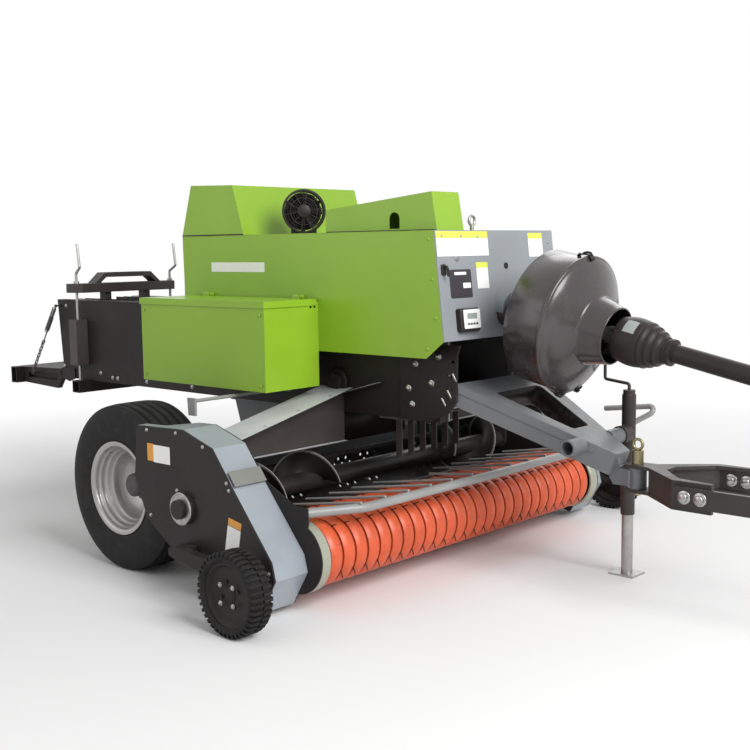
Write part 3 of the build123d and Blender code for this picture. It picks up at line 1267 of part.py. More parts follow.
def inset_route(route, depth):
    """The route moved to its right-hand side by this depth, with mitred corners."""
    moved = []
    last = len(route) - 1
    for index, (x, z) in enumerate(route):
        before = route[max(index - 1, 0)]
        after = route[min(index + 1, last)]
        here = (x, z)
        normals = []
        for start, end in ((before, here), (here, after)):
            run = (end[0] - start[0], end[1] - start[1])
            size = hypot(*run)
            if size:
                normals.append((run[1] / size, -run[0] / size))
        sum_x = sum(normal[0] for normal in normals)
        sum_z = sum(normal[1] for normal in normals)
        scale = depth * len(normals) / (sum_x * sum_x + sum_z * sum_z)
        moved.append((x + sum_x * scale, z + sum_z * scale))
    return moved


def shield_strip():
    """Right-hand strip along the shield's top and front, which reaches in to the side plate.
    Behind the side plate it is narrow, so that it clears the main tyre when it is lifted."""
    edge = SHIELD[:SHIELD_EDGE]
    outline = edge + inset_route(edge, RIM_STRIP_T)[::-1]
    strip = plate_xz(outline, -SHIELD_Y, -SIDE_Y - SIDE_T)
    narrow = -WHEEL_FACE_Y - TYRE_GAP
    taper = plate_xy([(200, narrow), (SIDE_REAR_X - 60, narrow), (SIDE_REAR_X, -SIDE_Y - SIDE_T),
                      (SIDE_REAR_X, 0), (200, 0)], 600, 800)
    return strip - taper


SIDE_REAR_X = 445.0


def side_plate():
    """Right-hand inner side plate, which carries the reel, the trough and the wind guard."""
    top, corner, knee = SHIELD[1:4]
    nose, chin = SHIELD[5:7]
    rear_top = SHIELD[0][1] + (top[1] - SHIELD[0][1]) * (SIDE_REAR_X - SHIELD[0][0]) / (
        top[0] - SHIELD[0][0])
    outline = [(SIDE_REAR_X, rear_top), top, corner, knee, (1040, 430), (1110, 430), (1114, 372),
               (1092, 290), nose, chin, (700, 120), (SIDE_REAR_X, 240)]
    face = plate_xz(outline, -SIDE_Y - SIDE_T, -SIDE_Y)
    face += rod((REEL_X, -SIDE_Y - SIDE_T, REEL_Z), (REEL_X, -SIDE_Y, REEL_Z), RING_R)
    face -= rod((PIVOT_X, -SIDE_Y - 50, PIVOT_Z), (PIVOT_X, 50 - SIDE_Y, PIVOT_Z),
                PIVOT_R + RUNNING_FIT)
    return face - rod((REEL_X, -SIDE_Y - 50, REEL_Z), (REEL_X, 50 - SIDE_Y, REEL_Z),
                      REEL_SHAFT_R + RUNNING_FIT)


keep("shields", both(shield()))
keep("shield_strips", both(shield_strip()))
keep("pickup_sides", both(side_plate()))


def band_profile(radius, overrun=0.0):
    """Face inside a U that runs round the reel and is open to the rear."""
    tail = REEL_X - BAND_TAIL - overrun
    top = REEL_Z + radius
    low = REEL_Z - radius
    outline = Line((tail, top), (REEL_X, top)) + ThreePointArc(
        (REEL_X, top), (REEL_X + radius, REEL_Z), (REEL_X, low))
    outline += Polyline((REEL_X, low), (tail, low), (tail, top))
    return make_face(outline)


def bands():
    """Row of stripper bands: each a strip bent round the reel, open to the rear."""
    profile = band_profile(BAND_R) - band_profile(BAND_R - BAND_T, 1.0)
    solids = []
    for index in range(BAND_COUNT):
        y = BAND_PITCH * (index + 0.5) - BAND_HALF
        band = extrude(Plane.XZ.offset(-y - BAND_W / 2) * profile, BAND_W, dir=(0, -1, 0))
        solids.extend(band.solids())
    return Compound(solids)


def end_ring():
    """Right-hand end cap of the reel, between the side plate and the first band."""
    length = SIDE_Y - BAND_HALF - (BAND_PITCH - BAND_W) / 2
    inner = BAND_R - 6.0
    ring = turned([(0, inner), (0, RING_R), (length - 12, RING_R), (length - 2, BAND_R + 2),
                   (length - 2, inner)])
    return Pos(REEL_X, -SIDE_Y, REEL_Z) * Rot(0, 0, 90) * ring


keep("stripper_bands", bands())
keep("end_rings", both(end_ring()))


def tine_bar():
    """Tine bar along the reel's +X side with a tine in every gap between the bands."""
    bar_end = BAND_HALF
    bar = rod((TINE_BAR_PITCH_R, -bar_end, 0), (TINE_BAR_PITCH_R, bar_end, 0), TINE_BAR_R)
    reach = TINE_TIP_R - TINE_BAR_PITCH_R
    tine = Box(reach, TINE_T, TINE_T)
    for gap in range(BAND_COUNT - 1):
        y = BAND_PITCH * (gap + 1) - BAND_HALF
        bar += Pos(TINE_BAR_PITCH_R + reach / 2, y, 0) * tine
    return bar


def reel():
    """Reel: its shaft, the spider discs and the bars with their spring tines."""
    length = SIDE_Y + SIDE_T + 10
    shaft = rod((0, -length, 0), (0, length, 0), REEL_SHAFT_R)
    for index in range(5):
        y = (index - 2) * 0.49 * BAND_HALF
        shaft += rod((0, y - 4, 0), (0, y + 4, 0), TINE_BAR_PITCH_R + 20)
    bar = tine_bar()
    for index in range(TINE_BARS):
        shaft += Rot(0, 360 / TINE_BARS * index + 30, 0) * bar
    return Pos(REEL_X, 0, REEL_Z) * shaft


keep("reel", reel())

AUGER_END_GAP = 50.0


def auger():
    """Cross augers: one tube with a left-hand and a right-hand flight that feed the middle."""
    end = SIDE_Y - AUGER_END_GAP + 10
    tube = rod((PIVOT_X, -end, PIVOT_Z), (PIVOT_X, end, PIVOT_Z), AUGER_TUBE_R)
    shaft_end = SHIELD_Y + SHIELD_T + 20
    tube += rod((PIVOT_X, -shaft_end, PIVOT_Z), (PIVOT_X, shaft_end, PIVOT_Z), AUGER_SHAFT_R)
    length = 1.6 * AUGER_PITCH
    path = Helix(AUGER_PITCH, length, AUGER_R)
    width = AUGER_R - AUGER_TUBE_R + 3
    start = Plane(origin=path @ 0, x_dir=(-1, 0, 0), z_dir=path % 0)
    section = start * (Pos(width / 2, 0) * Rectangle(width, AUGER_T))
    flight = sweep(section, path=path, is_frenet=True)
    right = Pos(PIVOT_X, AUGER_END_GAP - SIDE_Y + length, PIVOT_Z) * Rot(90, 0, 0) * flight
    return tube + right + left_of(right)


keep("auger", auger())

TROUGH_ENTRY = 35.0            # degrees under the augers' axis where the trough's bottom starts
TROUGH_TOP_Z = 452.0
SEAT = 0.3                     # gap under a piece that lies on a sheet of its own body


def trough():
    """Pan behind the bands: a ledge under their tails, a slope, a round bottom under the
    augers and a rear wall."""
    ledge_z = REEL_Z + BAND_R - BAND_T - SEAT
    tail_x = REEL_X - BAND_TAIL
    ledge = (tail_x + 20, tail_x - 20)
    entry = radians(TROUGH_ENTRY)

    def ring_point(radius, angle):
        return PIVOT_X + radius * cos(angle), PIVOT_Z - radius * sin(angle)

    inner = TROUGH_R
    outer = TROUGH_R + TROUGH_T
    outline = Polyline((PIVOT_X - inner, TROUGH_TOP_Z), (PIVOT_X - outer, TROUGH_TOP_Z),
                       (PIVOT_X - outer, PIVOT_Z))
    middle = (radians(180) + entry) / 2
    outline += ThreePointArc((PIVOT_X - outer, PIVOT_Z), ring_point(outer, middle),
                             ring_point(outer, entry))
    outline += Polyline(ring_point(outer, entry), (ledge[1] + 2, ledge_z - TROUGH_T),
                        (ledge[0], ledge_z - TROUGH_T), (ledge[0], ledge_z), (ledge[1], ledge_z),
                        ring_point(inner, entry))
    outline += ThreePointArc(ring_point(inner, entry), ring_point(inner, middle),
                             (PIVOT_X - inner, PIVOT_Z))
    outline += Line((PIVOT_X - inner, PIVOT_Z), (PIVOT_X - inner, TROUGH_TOP_Z))
    end = SIDE_Y - SEAT
    pan = extrude(Plane.XZ.offset(-end) * make_face(outline), 2 * end, dir=(0, -1, 0))
    return pan


def band_carrier():
    """Square tube across the pick-up with the shelf that the bands' lower tails hang from."""
    end = SIDE_Y - SEAT
    tail_x = REEL_X - BAND_TAIL
    shelf_z = REEL_Z - BAND_R + BAND_T + SEAT
    tube = block((770, 830), (-end, end), (110, 170))
    tube -= block((775, 825), (-end - 1, end + 1), (115, 165))
    shelf = block((tail_x - 60, tail_x + 20), (-end, end), (shelf_z, shelf_z + 5))
    web = block((830, 836), (-end, end), (shelf_z + 2, 170))
    return tube + shelf + web


keep("auger_trough", trough())
keep("band_carrier", band_carrier())

GUARD_Z = 405.0
GUARD_X = 1206.0
ROD_R = 6.0
ROD_COUNT = 12


def wind_guard():
    """Bowed pipe across the pick-up between its side plates, with thin rods that trail over the
    reel, and the bent bar on its left end that it is lifted by."""
    end = SIDE_Y - SEAT
    z = GUARD_Z
    main = pipe([(1070, -end - 20, z), (GUARD_X - 10, -780, z), (GUARD_X, 0, z),
                 (GUARD_X - 10, 780, z), (1070, end + 20, z)], GUARD_PIPE_R, 130, GUARD_PIPE_R - 3)
    main = main & block((1000, 1300), (-end, end), (z - 100, z + 100))
    for index in range(ROD_COUNT):
        y = BAND_PITCH * (2 * index - ROD_COUNT + 1)
        over_feeder = abs(y) < FEED_HALF_W
        rear_x = 950.0 if over_feeder else 730.0
        rear_z = 400.0 if over_feeder else 352.0
        main += rod((rear_x, y, rear_z), (GUARD_X - 6, y, z + GUARD_PIPE_R + ROD_R - 1.5), ROD_R)
    handle = pipe([(1136, 902, z + 6), (1240, 985, z + 52), (1540, 1080, 640), (1190, 1080, 596)],
                  14, 24)
    return main + handle


keep("wind_guard", wind_guard())

GAUGE_Y = GAUGE_FACE_Y - GAUGE_W / 2
AXLE_STUB_R = 15.0
ARM_Y = (-1285.0, -1245.0)
DISC_R = 125.0


def gauge_arm():
    """Right-hand arm of a gauge wheel on its block on the shield, with the wheel's stub axle."""
    arm = plate_xz([(560, 204), (560, 232), (600, 246), (1060, 196), (1096, 165), (1062, 132),
                    (600, 190)], *ARM_Y)
    seat = block((570, 640), (ARM_Y[1] - 1, -SHIELD_Y - SHIELD_T - SEAT), (196, 238))
    stub = rod((GAUGE_X, ARM_Y[0] + 10, GAUGE_R), (GAUGE_X, -GAUGE_Y - GAUGE_W / 2 + 32, GAUGE_R),
               AXLE_STUB_R)
    return arm + seat + stub


def gauge_tyre():
    """Solid lugged tyre of a gauge wheel, turned about X, with two staggered rows of lugs."""
    half = GAUGE_W / 2
    root = GAUGE_R - GAUGE_LUG_H
    body = turned([(-half + 10, DISC_R), (-half, DISC_R + 10), (-half, root - 12), (-half + 12, root),
                   (half - 12, root), (half, root - 12), (half, DISC_R + 10), (half - 10, DISC_R)])
    lug = plate_xy([(-half, root - 16), (-half, GAUGE_R - 8), (-half + 10, GAUGE_R),
                    (-3, GAUGE_R), (-3, root - 16)], -LUG_HALF, LUG_HALF)
    lugs = []
    for index in range(GAUGE_LUGS):
        turn = 360 / GAUGE_LUGS * index
        lugs.append(Rot(turn, 0, 0) * lug)
        lugs.append(Rot(turn + 180 / GAUGE_LUGS, 0, 0) * lug.mirror(Plane.YZ))
    return body + lugs


def gauge_disc():
    """Dished disc of a gauge wheel with its hub and four bolts, turned about X; +X is outside."""
    half = GAUGE_W / 2
    bore = AXLE_STUB_R + RUNNING_FIT
    seat = DISC_R - SEAT
    disc = turned([(-half + 20, seat), (half - 12, seat), (half - 12, seat - 8), (26, seat - 20),
                   (22, 34), (half - 26, 30), (half - 22, 20), (half - 22, 0), (half - 28, 0),
                   (half - 28, bore), (-half, bore), (-half, 30), (12, 30), (12, seat - 20),
                   (-half + 20, seat - 8)])
    for place in PolarLocations(50, 4, start_angle=20):
        disc += Plane.YZ.offset(20) * place * extrude(RegularPolygon(9, 6), 10)
    return disc


keep("gauge_arms", both(gauge_arm()))
pair("gauge_tyre", across(gauge_tyre(), GAUGE_X, -GAUGE_Y, GAUGE_R))
pair("gauge_disc", across(gauge_disc(), GAUGE_X, -GAUGE_Y, GAUGE_R))

for name, shape in NODES.items():
    export_step(Pos(-CENTRE_X, 0, 0) * shape, f"parts/{name}.step")
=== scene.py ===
"""Looks of a square baler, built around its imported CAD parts.

Every new piece is a surface worked out with numpy in the row frame, in metres: +X forward, +Y to
the machine's left, +Z up, with the origin on the ground at the middle of the whole machine.
"""

import json

import bmesh
import bpy
import numpy as np
from mathutils import Matrix, Vector


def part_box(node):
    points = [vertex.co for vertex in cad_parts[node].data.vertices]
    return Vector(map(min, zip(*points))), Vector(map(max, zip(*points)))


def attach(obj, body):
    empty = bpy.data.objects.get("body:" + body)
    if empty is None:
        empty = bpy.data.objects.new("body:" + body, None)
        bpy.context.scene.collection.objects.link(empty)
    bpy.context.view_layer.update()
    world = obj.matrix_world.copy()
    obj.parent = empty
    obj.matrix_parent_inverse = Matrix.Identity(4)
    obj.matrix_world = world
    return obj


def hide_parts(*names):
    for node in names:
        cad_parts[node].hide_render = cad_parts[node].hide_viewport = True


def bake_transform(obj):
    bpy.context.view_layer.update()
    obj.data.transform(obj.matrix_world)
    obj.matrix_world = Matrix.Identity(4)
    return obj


bl_info = {
    "name": "Square baler looks",
    "version": (1, 0, 0),
    "blender": (4, 5, 0),
    "location": "3D Viewport > Sidebar > Baler",
    "description": "Dresses the packed parts of a small square baler",
    "category": "Object",
}

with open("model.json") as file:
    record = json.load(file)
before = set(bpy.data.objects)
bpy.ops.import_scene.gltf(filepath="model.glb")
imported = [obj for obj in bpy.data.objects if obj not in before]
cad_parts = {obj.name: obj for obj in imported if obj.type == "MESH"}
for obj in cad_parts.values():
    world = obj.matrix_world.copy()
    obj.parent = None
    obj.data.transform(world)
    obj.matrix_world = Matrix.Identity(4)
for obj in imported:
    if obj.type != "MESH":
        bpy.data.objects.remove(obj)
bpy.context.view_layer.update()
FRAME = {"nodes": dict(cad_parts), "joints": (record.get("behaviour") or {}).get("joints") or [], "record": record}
NODES = FRAME["nodes"]


def joint_place(name):
    """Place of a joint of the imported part, as an array."""
    joint = next(item for item in FRAME["joints"] if item["name"] == name)
    return np.array(joint["pos_m"], float)


def joint_axis(name):
    """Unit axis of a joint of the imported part, as an array."""
    joint = next(item for item in FRAME["joints"] if item["name"] == name)
    axis = np.array(joint["axis"], float)
    return axis / np.linalg.norm(axis)


def box_of(node):
    """Lowest and highest corner of a CAD node, as arrays."""
    low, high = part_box(node)
    return np.array(low), np.array(high)


# --- Sizes and colours that a user would change ----------------------------------------------


def length(name, text, value):
    """Length property in metres."""
    return bpy.props.FloatProperty(name=name, description=text, default=value, subtype="DISTANCE",
                                   unit="LENGTH", precision=4)


def colour(name, text, value):
    """Colour property."""
    return bpy.props.FloatVectorProperty(name=name, description=text, default=value, size=3,
                                         subtype="COLOR", min=0.0, max=1.0)


class BalerSizes(bpy.types.PropertyGroup):
    """Sizes of the pieces that dress the baler."""

    groove_depth: length("Groove depth", "Depth of the main tyres' rib grooves", 0.011)
    band_crown: length("Band crown", "Height of a stripper band's crown over its edges", 0.0095)
    tine_radius: length("Tine radius", "Radius of a spring tine's wire", 0.0026)
    bevel: length("Edge radius", "Radius that painted edges are softened by", 0.0025)


class BalerColours(bpy.types.PropertyGroup):
    """Paints and plastics of the baler."""

    green: colour("Green", "Body, twine box and hoods", (0.245, 0.43, 0.02))
    grey: colour("Grey", "Front plate of the body", (0.27, 0.29, 0.31))
    frame: colour("Frame grey", "Drawbar and axle", (0.14, 0.145, 0.155))
    black: colour("Black", "Bale chamber, brackets and shields", (0.019, 0.015, 0.0145))
    strip: colour("Strip grey", "Strips round the shields", (0.3, 0.33, 0.37))
    orange: colour("Orange", "Stripper bands", (0.64, 0.1, 0.035))
    olive: colour("Olive", "End rings of the reel", (0.32, 0.33, 0.26))
    silver: colour("Silver", "Wheel rims", (0.42, 0.405, 0.4))
    cover: colour("Cover", "Moulded flywheel cover", (0.036, 0.029, 0.03))
    rubber: colour("Rubber", "Tyres", (0.011, 0.01, 0.01))


# --- Surfaces --------------------------------------------------------------------------------


def surface(points, wrap_u=False, wrap_v=False):
    """Quads over an (n, m, 3) grid of points; a wrapped direction joins its end to its start."""
    rows, columns = points.shape[:2]
    index = np.arange(rows * columns).reshape(rows, columns)
    if wrap_u:
        index = np.vstack([index, index[:1]])
    if wrap_v:
        index = np.hstack([index, index[:, :1]])
    quads = np.stack([index[:-1, :-1], index[1:, :-1], index[1:, 1:], index[:-1, 1:]], axis=-1)
    return points.reshape(-1, 3), quads.reshape(-1, 4)


def joined(parts):
    """One (points, quads) pair from several."""
    offset = 0
    points, quads = [], []
    for part_points, part_quads in parts:
        points.append(part_points)
        quads.append(part_quads + offset)
        offset += len(part_points)
    return np.vstack(points), np.vstack(quads)


def copies(part, moves):
    """A (points, quads) pair repeated with every point moved by each row of moves."""
    points, quads = part
    many = points[None] + moves[:, None]
    steps = np.arange(len(moves))[:, None, None] * len(points)
    return many.reshape(-1, 3), (quads[None] + steps).reshape(-1, 4)


def turned_y(profile, centre, steps):
    """A closed loop of (radius, y) points turned about the line along Y through the centre."""
    angle = np.linspace(0, 2 * np.pi, steps, endpoint=False)[:, None]
    radius, y = profile.T
    points = np.stack([centre[0] + radius * np.cos(angle), centre[1] + y + 0 * angle,
                       centre[2] + radius * np.sin(angle)], axis=-1)
    return surface(points, wrap_u=True, wrap_v=True)


def frames_of(axis):
    """Three unit vectors per row of axis: two across it and itself."""
    axis = axis / np.linalg.norm(axis, axis=1, keepdims=True)
    helper = np.where(np.abs(axis[:, 2:]) < 0.9, [[0.0, 0.0, 1.0]], [[1.0, 0.0, 0.0]])
    side = np.cross(helper, axis)
    side /= np.linalg.norm(side, axis=1, keepdims=True)
    return side, np.cross(axis, side), axis


def around(first, second, angle):
    """Direction at each angle from the first of two that are square to each other."""
    return first * np.cos(angle) + second * np.sin(angle)


def capped(loops, path):
    """Surface over loops carried along a path, closed by the path's first and last point."""
    shape = (1, loops.shape[1], 3)
    ends = [np.broadcast_to(path[end], shape) for end in (0, -1)]
    return surface(np.concatenate([ends[0], loops, ends[1]]), wrap_v=True)


def tube(path, radius, sides=8):
    """A circle carried along a path, its plane square to the path, with flat closed ends."""
    side, up, _ = frames_of(np.gradient(path, axis=0))
    angle = np.linspace(0, 2 * np.pi, sides, endpoint=False)[:, None]
    radii = np.broadcast_to(np.asarray(radius, float), (len(path),))[:, None, None]
    return capped(path[:, None] + around(side[:, None], up[:, None], angle) * radii, path)


def spun(profile, base, axis, sides=6):
    """(height, radius) profiles turned about each base's axis; base and axis are (k, 3) arrays."""
    side, up, along = frames_of(axis)
    angle = np.linspace(0, 2 * np.pi, sides, endpoint=False)[:, None]
    ring = around(side[:, None], up[:, None], angle)
    height = profile[:, 0][None, :, None, None]
    radius = profile[:, 1][None, :, None, None]
    points = base[:, None, None] + along[:, None, None] * height + ring[:, None] * radius
    index = np.arange(len(profile) * sides).reshape(len(profile), sides)
    index = np.hstack([index, index[:, :1]])
    quads = np.stack([index[:-1, :-1], index[:-1, 1:], index[1:, 1:], index[1:, :-1]], axis=-1)
    quads = quads.reshape(-1, 4)
    steps = np.arange(len(base))[:, None, None] * len(profile) * sides
    return points.reshape(-1, 3), (quads[None] + steps).reshape(-1, 4)


def new_piece(name, mesh, finish):
    """Put a mesh into the scene as a piece with one finish."""
    piece = bpy.data.objects.new(name, mesh)
    bpy.context.scene.collection.objects.link(piece)
    mesh.materials.clear()
    mesh.materials.append(FINISHES[finish])
    return piece


def add(name, part, body, slot, finish=None, replaces=(), sharp=None):
    """Make a (points, quads) pair a piece that rides on a body, or that is baked in place where
    the body is None.  Its finish is that of its material slot if no other is named, and
    edges sharper than so many degrees keep their crease."""
    points, quads = part
    mesh = bpy.data.meshes.new(name)
    mesh.from_pydata(points.tolist(), [], quads.tolist())
    mesh.validate()
    mesh.polygons.foreach_set("use_smooth", np.ones(len(mesh.polygons), bool))
    merge_and_turn_out(mesh)
    if sharp:
        mesh.set_sharp_from_angle(angle=np.radians(sharp))
    piece = new_piece(name, mesh, finish or slot)
    if body is None:
        bend_with_chute(piece)
    else:
        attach(piece, body)
    if replaces:
        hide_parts(*replaces)
    return piece


def bend_with_chute(piece):
    """Bake the piece's place into its points, with no body for it to ride on."""
    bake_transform(piece)


def merge_and_turn_out(mesh):
    """Merge double points and point every face outwards."""
    work = bmesh.new()
    work.from_mesh(mesh)
    bmesh.ops.remove_doubles(work, verts=work.verts, dist=1e-6)
    bmesh.ops.dissolve_degenerate(work, edges=work.edges, dist=1e-7)
    bmesh.ops.recalc_face_normals(work, faces=work.faces)
    work.to_mesh(mesh)
    work.free()


# --- Finishes --------------------------------------------------------------------------------

# Tones that show through or lie on another finish


DUST = (0.33, 0.3, 0.25, 1.0)
WORN_METAL = (0.3, 0.29, 0.28, 1.0)
RUST_BLOOM = (0.16, 0.075, 0.035, 1.0)
# Worn steel and a painted highlight on the augers' flight rims
RIM_WEAR_AND_HIGHLIGHT = (0.36, 0.35, 0.34, 1.0)
SCUFFED_RUBBER = (0.08, 0.07, 0.065, 1.0)
RUBBED_ENAMEL = (0.3, 0.06, 0.03, 1.0)
WHITE = (1.0, 1.0, 1.0, 1.0)


class Tree:
    """Short way to add nodes to a material and join them."""

    def __init__(self, name):
        self.material = bpy.data.materials.new(name)
        self.material.use_nodes = True
        self.nodes = self.material.node_tree.nodes
        self.links = self.material.node_tree.links
        self.shader = self.nodes["Principled BSDF"]

    def add(self, kind, **values):
        """Add a node; values go to its attributes, or to its inputs by number or name."""
        node = self.nodes.new(kind)
        inputs = values.pop("inputs", {})
        for key, value in values.items():
            setattr(node, key, value)
        for key, value in inputs.items():
            if isinstance(value, bpy.types.NodeSocket):
                self.links.new(value, node.inputs[key])
            else:
                node.inputs[key].default_value = value
        return node

    def place(self):
        """Object coordinates."""
        return self.add("ShaderNodeTexCoord").outputs["Object"]

    def noise(self, scale, detail=4.0, rough=0.55, vector=None):
        """Noise between 0 and 1."""
        node = self.add("ShaderNodeTexNoise", inputs={
            "Vector": vector or self.place(), "Scale": scale, "Detail": detail,
            "Roughness": rough})
        return node.outputs["Fac"]

    def ramp(self, value, low, high, from_value=0.0, to_value=1.0):
        """Stretch a value from (low, high) to (from_value, to_value), clamped."""
        node = self.add("ShaderNodeMapRange", inputs={
            "Value": value, "From Min": low, "From Max": high, "To Min": from_value,
            "To Max": to_value})
        return node.outputs["Result"]

    def mix(self, factor, first, second):
        """Mix two colours."""
        node = self.add("ShaderNodeMix", data_type="RGBA")
        for socket, value in ((node.inputs["Factor"], factor), (node.inputs[6], first),
                              (node.inputs[7], second)):
            if isinstance(value, bpy.types.NodeSocket):
                self.links.new(value, socket)
            else:
                socket.default_value = value
        return node.outputs[2]

    def math(self, operation, first, second):
        """Combine two values."""
        node = self.add("ShaderNodeMath", operation=operation, inputs={0: first, 1: second})
        return node.outputs[0]

    def varied(self, tone, scale, darkest, brightest, detail=6.0):
        """A colour that wanders between a darker and a brighter one."""
        wander = self.ramp(self.noise(scale, detail), 0.3, 0.7)
        return self.mix(wander, rgba(tone, darkest), rgba(tone, brightest))

    def facing_up(self):
        """1 on surfaces that face up, 0 on those that face down."""
        normal = self.add("ShaderNodeNewGeometry").outputs["Normal"]
        split = self.add("ShaderNodeSeparateXYZ", inputs={0: normal})
        return self.ramp(split.outputs["Z"], 0.2, 0.95)

    def edge(self, radius):
        """1 on edges within this radius, 0 on flat surfaces."""
        rounded = self.add("ShaderNodeBevel", samples=4, inputs={"Radius": radius})
        plain = self.add("ShaderNodeNewGeometry").outputs["Normal"]
        dot = self.add("ShaderNodeVectorMath", operation="DOT_PRODUCT",
                       inputs={0: rounded.outputs[0], 1: plain})
        return self.ramp(dot.outputs["Value"], 0.99, 0.8)

    def finish(self, base, rough, bump=None, strength=0.1, distance=0.001, bevel=0.0,
               specular=0.5, **values):
        """Set the shader: base and rough may be sockets or values."""
        self.shader.inputs["Specular IOR Level"].default_value = specular
        for key, value in (("Base Color", base), ("Roughness", rough)):
            if isinstance(value, bpy.types.NodeSocket):
                self.links.new(value, self.shader.inputs[key])
            else:
                self.shader.inputs[key].default_value = value
        for key, value in values.items():
            self.shader.inputs[key.replace("_", " ").title()].default_value = value
        normal = None
        if bevel:
            normal = self.add("ShaderNodeBevel", samples=4, inputs={"Radius": bevel}).outputs[0]
        if bump is not None:
            node = self.add("ShaderNodeBump", inputs={"Strength": strength, "Distance": distance,
                                                      "Height": bump})
            if normal:
                self.links.new(normal, node.inputs["Normal"])
            normal = node.outputs[0]
        if normal:
            self.links.new(normal, self.shader.inputs["Normal"])
        return self.material


def rgba(value, scale=1.0):
    """Colour with its alpha, brightened or darkened."""
    return (value[0] * scale, value[1] * scale, value[2] * scale, 1.0)


def sheet_paint(name, paint, rough=0.32, dust=0.25, wear=0.35, coat=0.25, mottle=0.08,
                specular=0.5, metallic=0.0):
    """Sprayed paint on sheet steel: slight mottling, orange peel, dust on what faces up, and bare
    or dusty metal along worn edges."""
    tree = Tree(name)
    bevel = bpy.context.scene.baler_sizes.bevel
    base = tree.varied(paint, 2.3, 1.0 - mottle, 1.0 + mottle, 5.0)
    streaks = tree.ramp(tree.noise(11.0, 8.0, 0.7), 0.5, 0.75, 0.0, dust)
    base = tree.mix(tree.math("MULTIPLY", streaks, tree.facing_up()), base, DUST)
    chips = tree.ramp(tree.noise(38.0, 6.0, 0.75), 0.52, 0.66, 0.0, wear)
    base = tree.mix(tree.math("MULTIPLY", tree.edge(bevel * 1.2), chips), base, WORN_METAL)
    roughness = tree.ramp(tree.noise(7.0, 6.0), 0.3, 0.75, rough - 0.06, rough + 0.12)
    peel = tree.noise(130.0, 2.0)
    return tree.finish(base, roughness, bump=peel, strength=0.03, distance=0.0006, bevel=bevel,
                       specular=specular, coat_weight=coat, coat_roughness=0.15,
                       metallic=metallic)


def worn_steel(name, tone=(0.42, 0.41, 0.4), rust=0.3):
    """Bare steel polished by hay, with brown bloom."""
    tree = Tree(name)
    bloom = tree.ramp(tree.noise(9.0, 8.0, 0.7), 0.5, 0.72, 0.0, rust)
    base = tree.mix(bloom, rgba(tone), RUST_BLOOM)
    scratch = tree.noise(160.0, 3.0)
    rough = tree.ramp(tree.noise(14.0, 5.0), 0.3, 0.7, 0.28, 0.5)
    return tree.finish(base, rough, bump=scratch, strength=0.1, distance=0.0004,
                       bevel=bpy.context.scene.baler_sizes.bevel, metallic=0.85)


def dark_paint_with_painted_light(name, lit, shade):
    """Paint on folded sheet: its own dark tone below, and painted light, a pale painted reflection of the sky,
    where it faces up.
    """
    tree = Tree(name)
    # Painted light: the lit tone where the sheet faces up, the dark tone of the paint elsewhere
    base = tree.mix(tree.facing_up(), tree.varied(shade, 3.0, 0.7, 1.4),
                    tree.varied(lit, 3.0, 0.85, 1.15))
    rough = tree.ramp(tree.noise(7.0, 6.0), 0.3, 0.75, 0.38, 0.55)
    return tree.finish(base, rough, bump=tree.noise(130.0, 2.0), strength=0.04,
                       distance=0.0006, bevel=bpy.context.scene.baler_sizes.bevel, specular=0.3)


def screw_paint(name, tone, radius):
    """Black paint on the augers, bright at the rims of their flights: partly steel worn bare, partly a painted
    highlight.
    """
    tree = Tree(name)
    split = tree.add("ShaderNodeSeparateXYZ", inputs={0: tree.place()})
    pivot = joint_place("auger_spin")
    across = tree.math("SUBTRACT", split.outputs["X"], float(pivot[0]))
    above = tree.math("SUBTRACT", split.outputs["Z"], float(pivot[2]))
    away = tree.math("SQRT", tree.math("ADD", tree.math("MULTIPLY", across, across),
                                       tree.math("MULTIPLY", above, above)), 0.0)
    # The flight rims' bright tone is partly wear and partly a painted highlight
    rim = tree.ramp(away, radius - 0.012, radius - 0.004, 0.0, 0.75)
    base = tree.mix(rim, tree.varied(tone, 5.0, 0.7, 1.5), RIM_WEAR_AND_HIGHLIGHT)
    return tree.finish(base, tree.ramp(tree.noise(14.0), 0.3, 0.7, 0.32, 0.5),
                       bump=tree.noise(110.0, 3.0), strength=0.1, distance=0.0005,
                       specular=0.3)


def cast_iron(name, tone=(0.09, 0.085, 0.085)):
    """Rough grey casting with a thin coat of paint."""
    tree = Tree(name)
    return tree.finish(tree.varied(tone, 6.0, 0.8, 1.3), 0.55, bump=tree.noise(240.0, 5.0),
                       strength=0.35, distance=0.0008,
                       bevel=bpy.context.scene.baler_sizes.bevel, metallic=0.3)


def rubber(name, tone):
    """Tyre rubber: fine grain, and dust held where it is scuffed."""
    tree = Tree(name)
    scuff = tree.ramp(tree.noise(16.0, 8.0, 0.7), 0.48, 0.75, 0.0, 0.22)
    base = tree.mix(scuff, rgba(tone), SCUFFED_RUBBER)
    return tree.finish(base, 0.72, bump=tree.noise(300.0, 4.0), strength=0.2, distance=0.0006,
                       specular=0.25)


def moulding(name, tone, rough=0.3, coat=0.3, specular=0.5):
    """Moulded plastic: an even skin with a faint ripple and scuffs that dull it."""
    tree = Tree(name)
    scuffs = tree.ramp(tree.noise(24.0, 8.0, 0.75), 0.55, 0.75, rough, rough + 0.25)
    return tree.finish(tree.varied(tone, 3.0, 0.85, 1.2), scuffs, bump=tree.noise(30.0, 3.0),
                       strength=0.05, distance=0.002, bevel=0.003, specular=specular,
                       coat_weight=coat, coat_roughness=0.15)


def band_enamel(name, tone):
    """Orange enamel of the stripper bands, rubbed thin and dark along hay tracks."""
    tree = Tree(name)
    track = tree.ramp(tree.noise(26.0, 8.0, 0.8), 0.52, 0.7, 0.0, 0.6)
    base = tree.mix(track, tree.varied(tone, 5.0, 0.85, 1.1), RUBBED_ENAMEL)
    return tree.finish(base, tree.ramp(tree.noise(12.0), 0.3, 0.7, 0.36, 0.52),
                       bump=tree.noise(110.0), strength=0.08, distance=0.0005,
                       specular=0.4, coat_weight=0.1, coat_roughness=0.25)


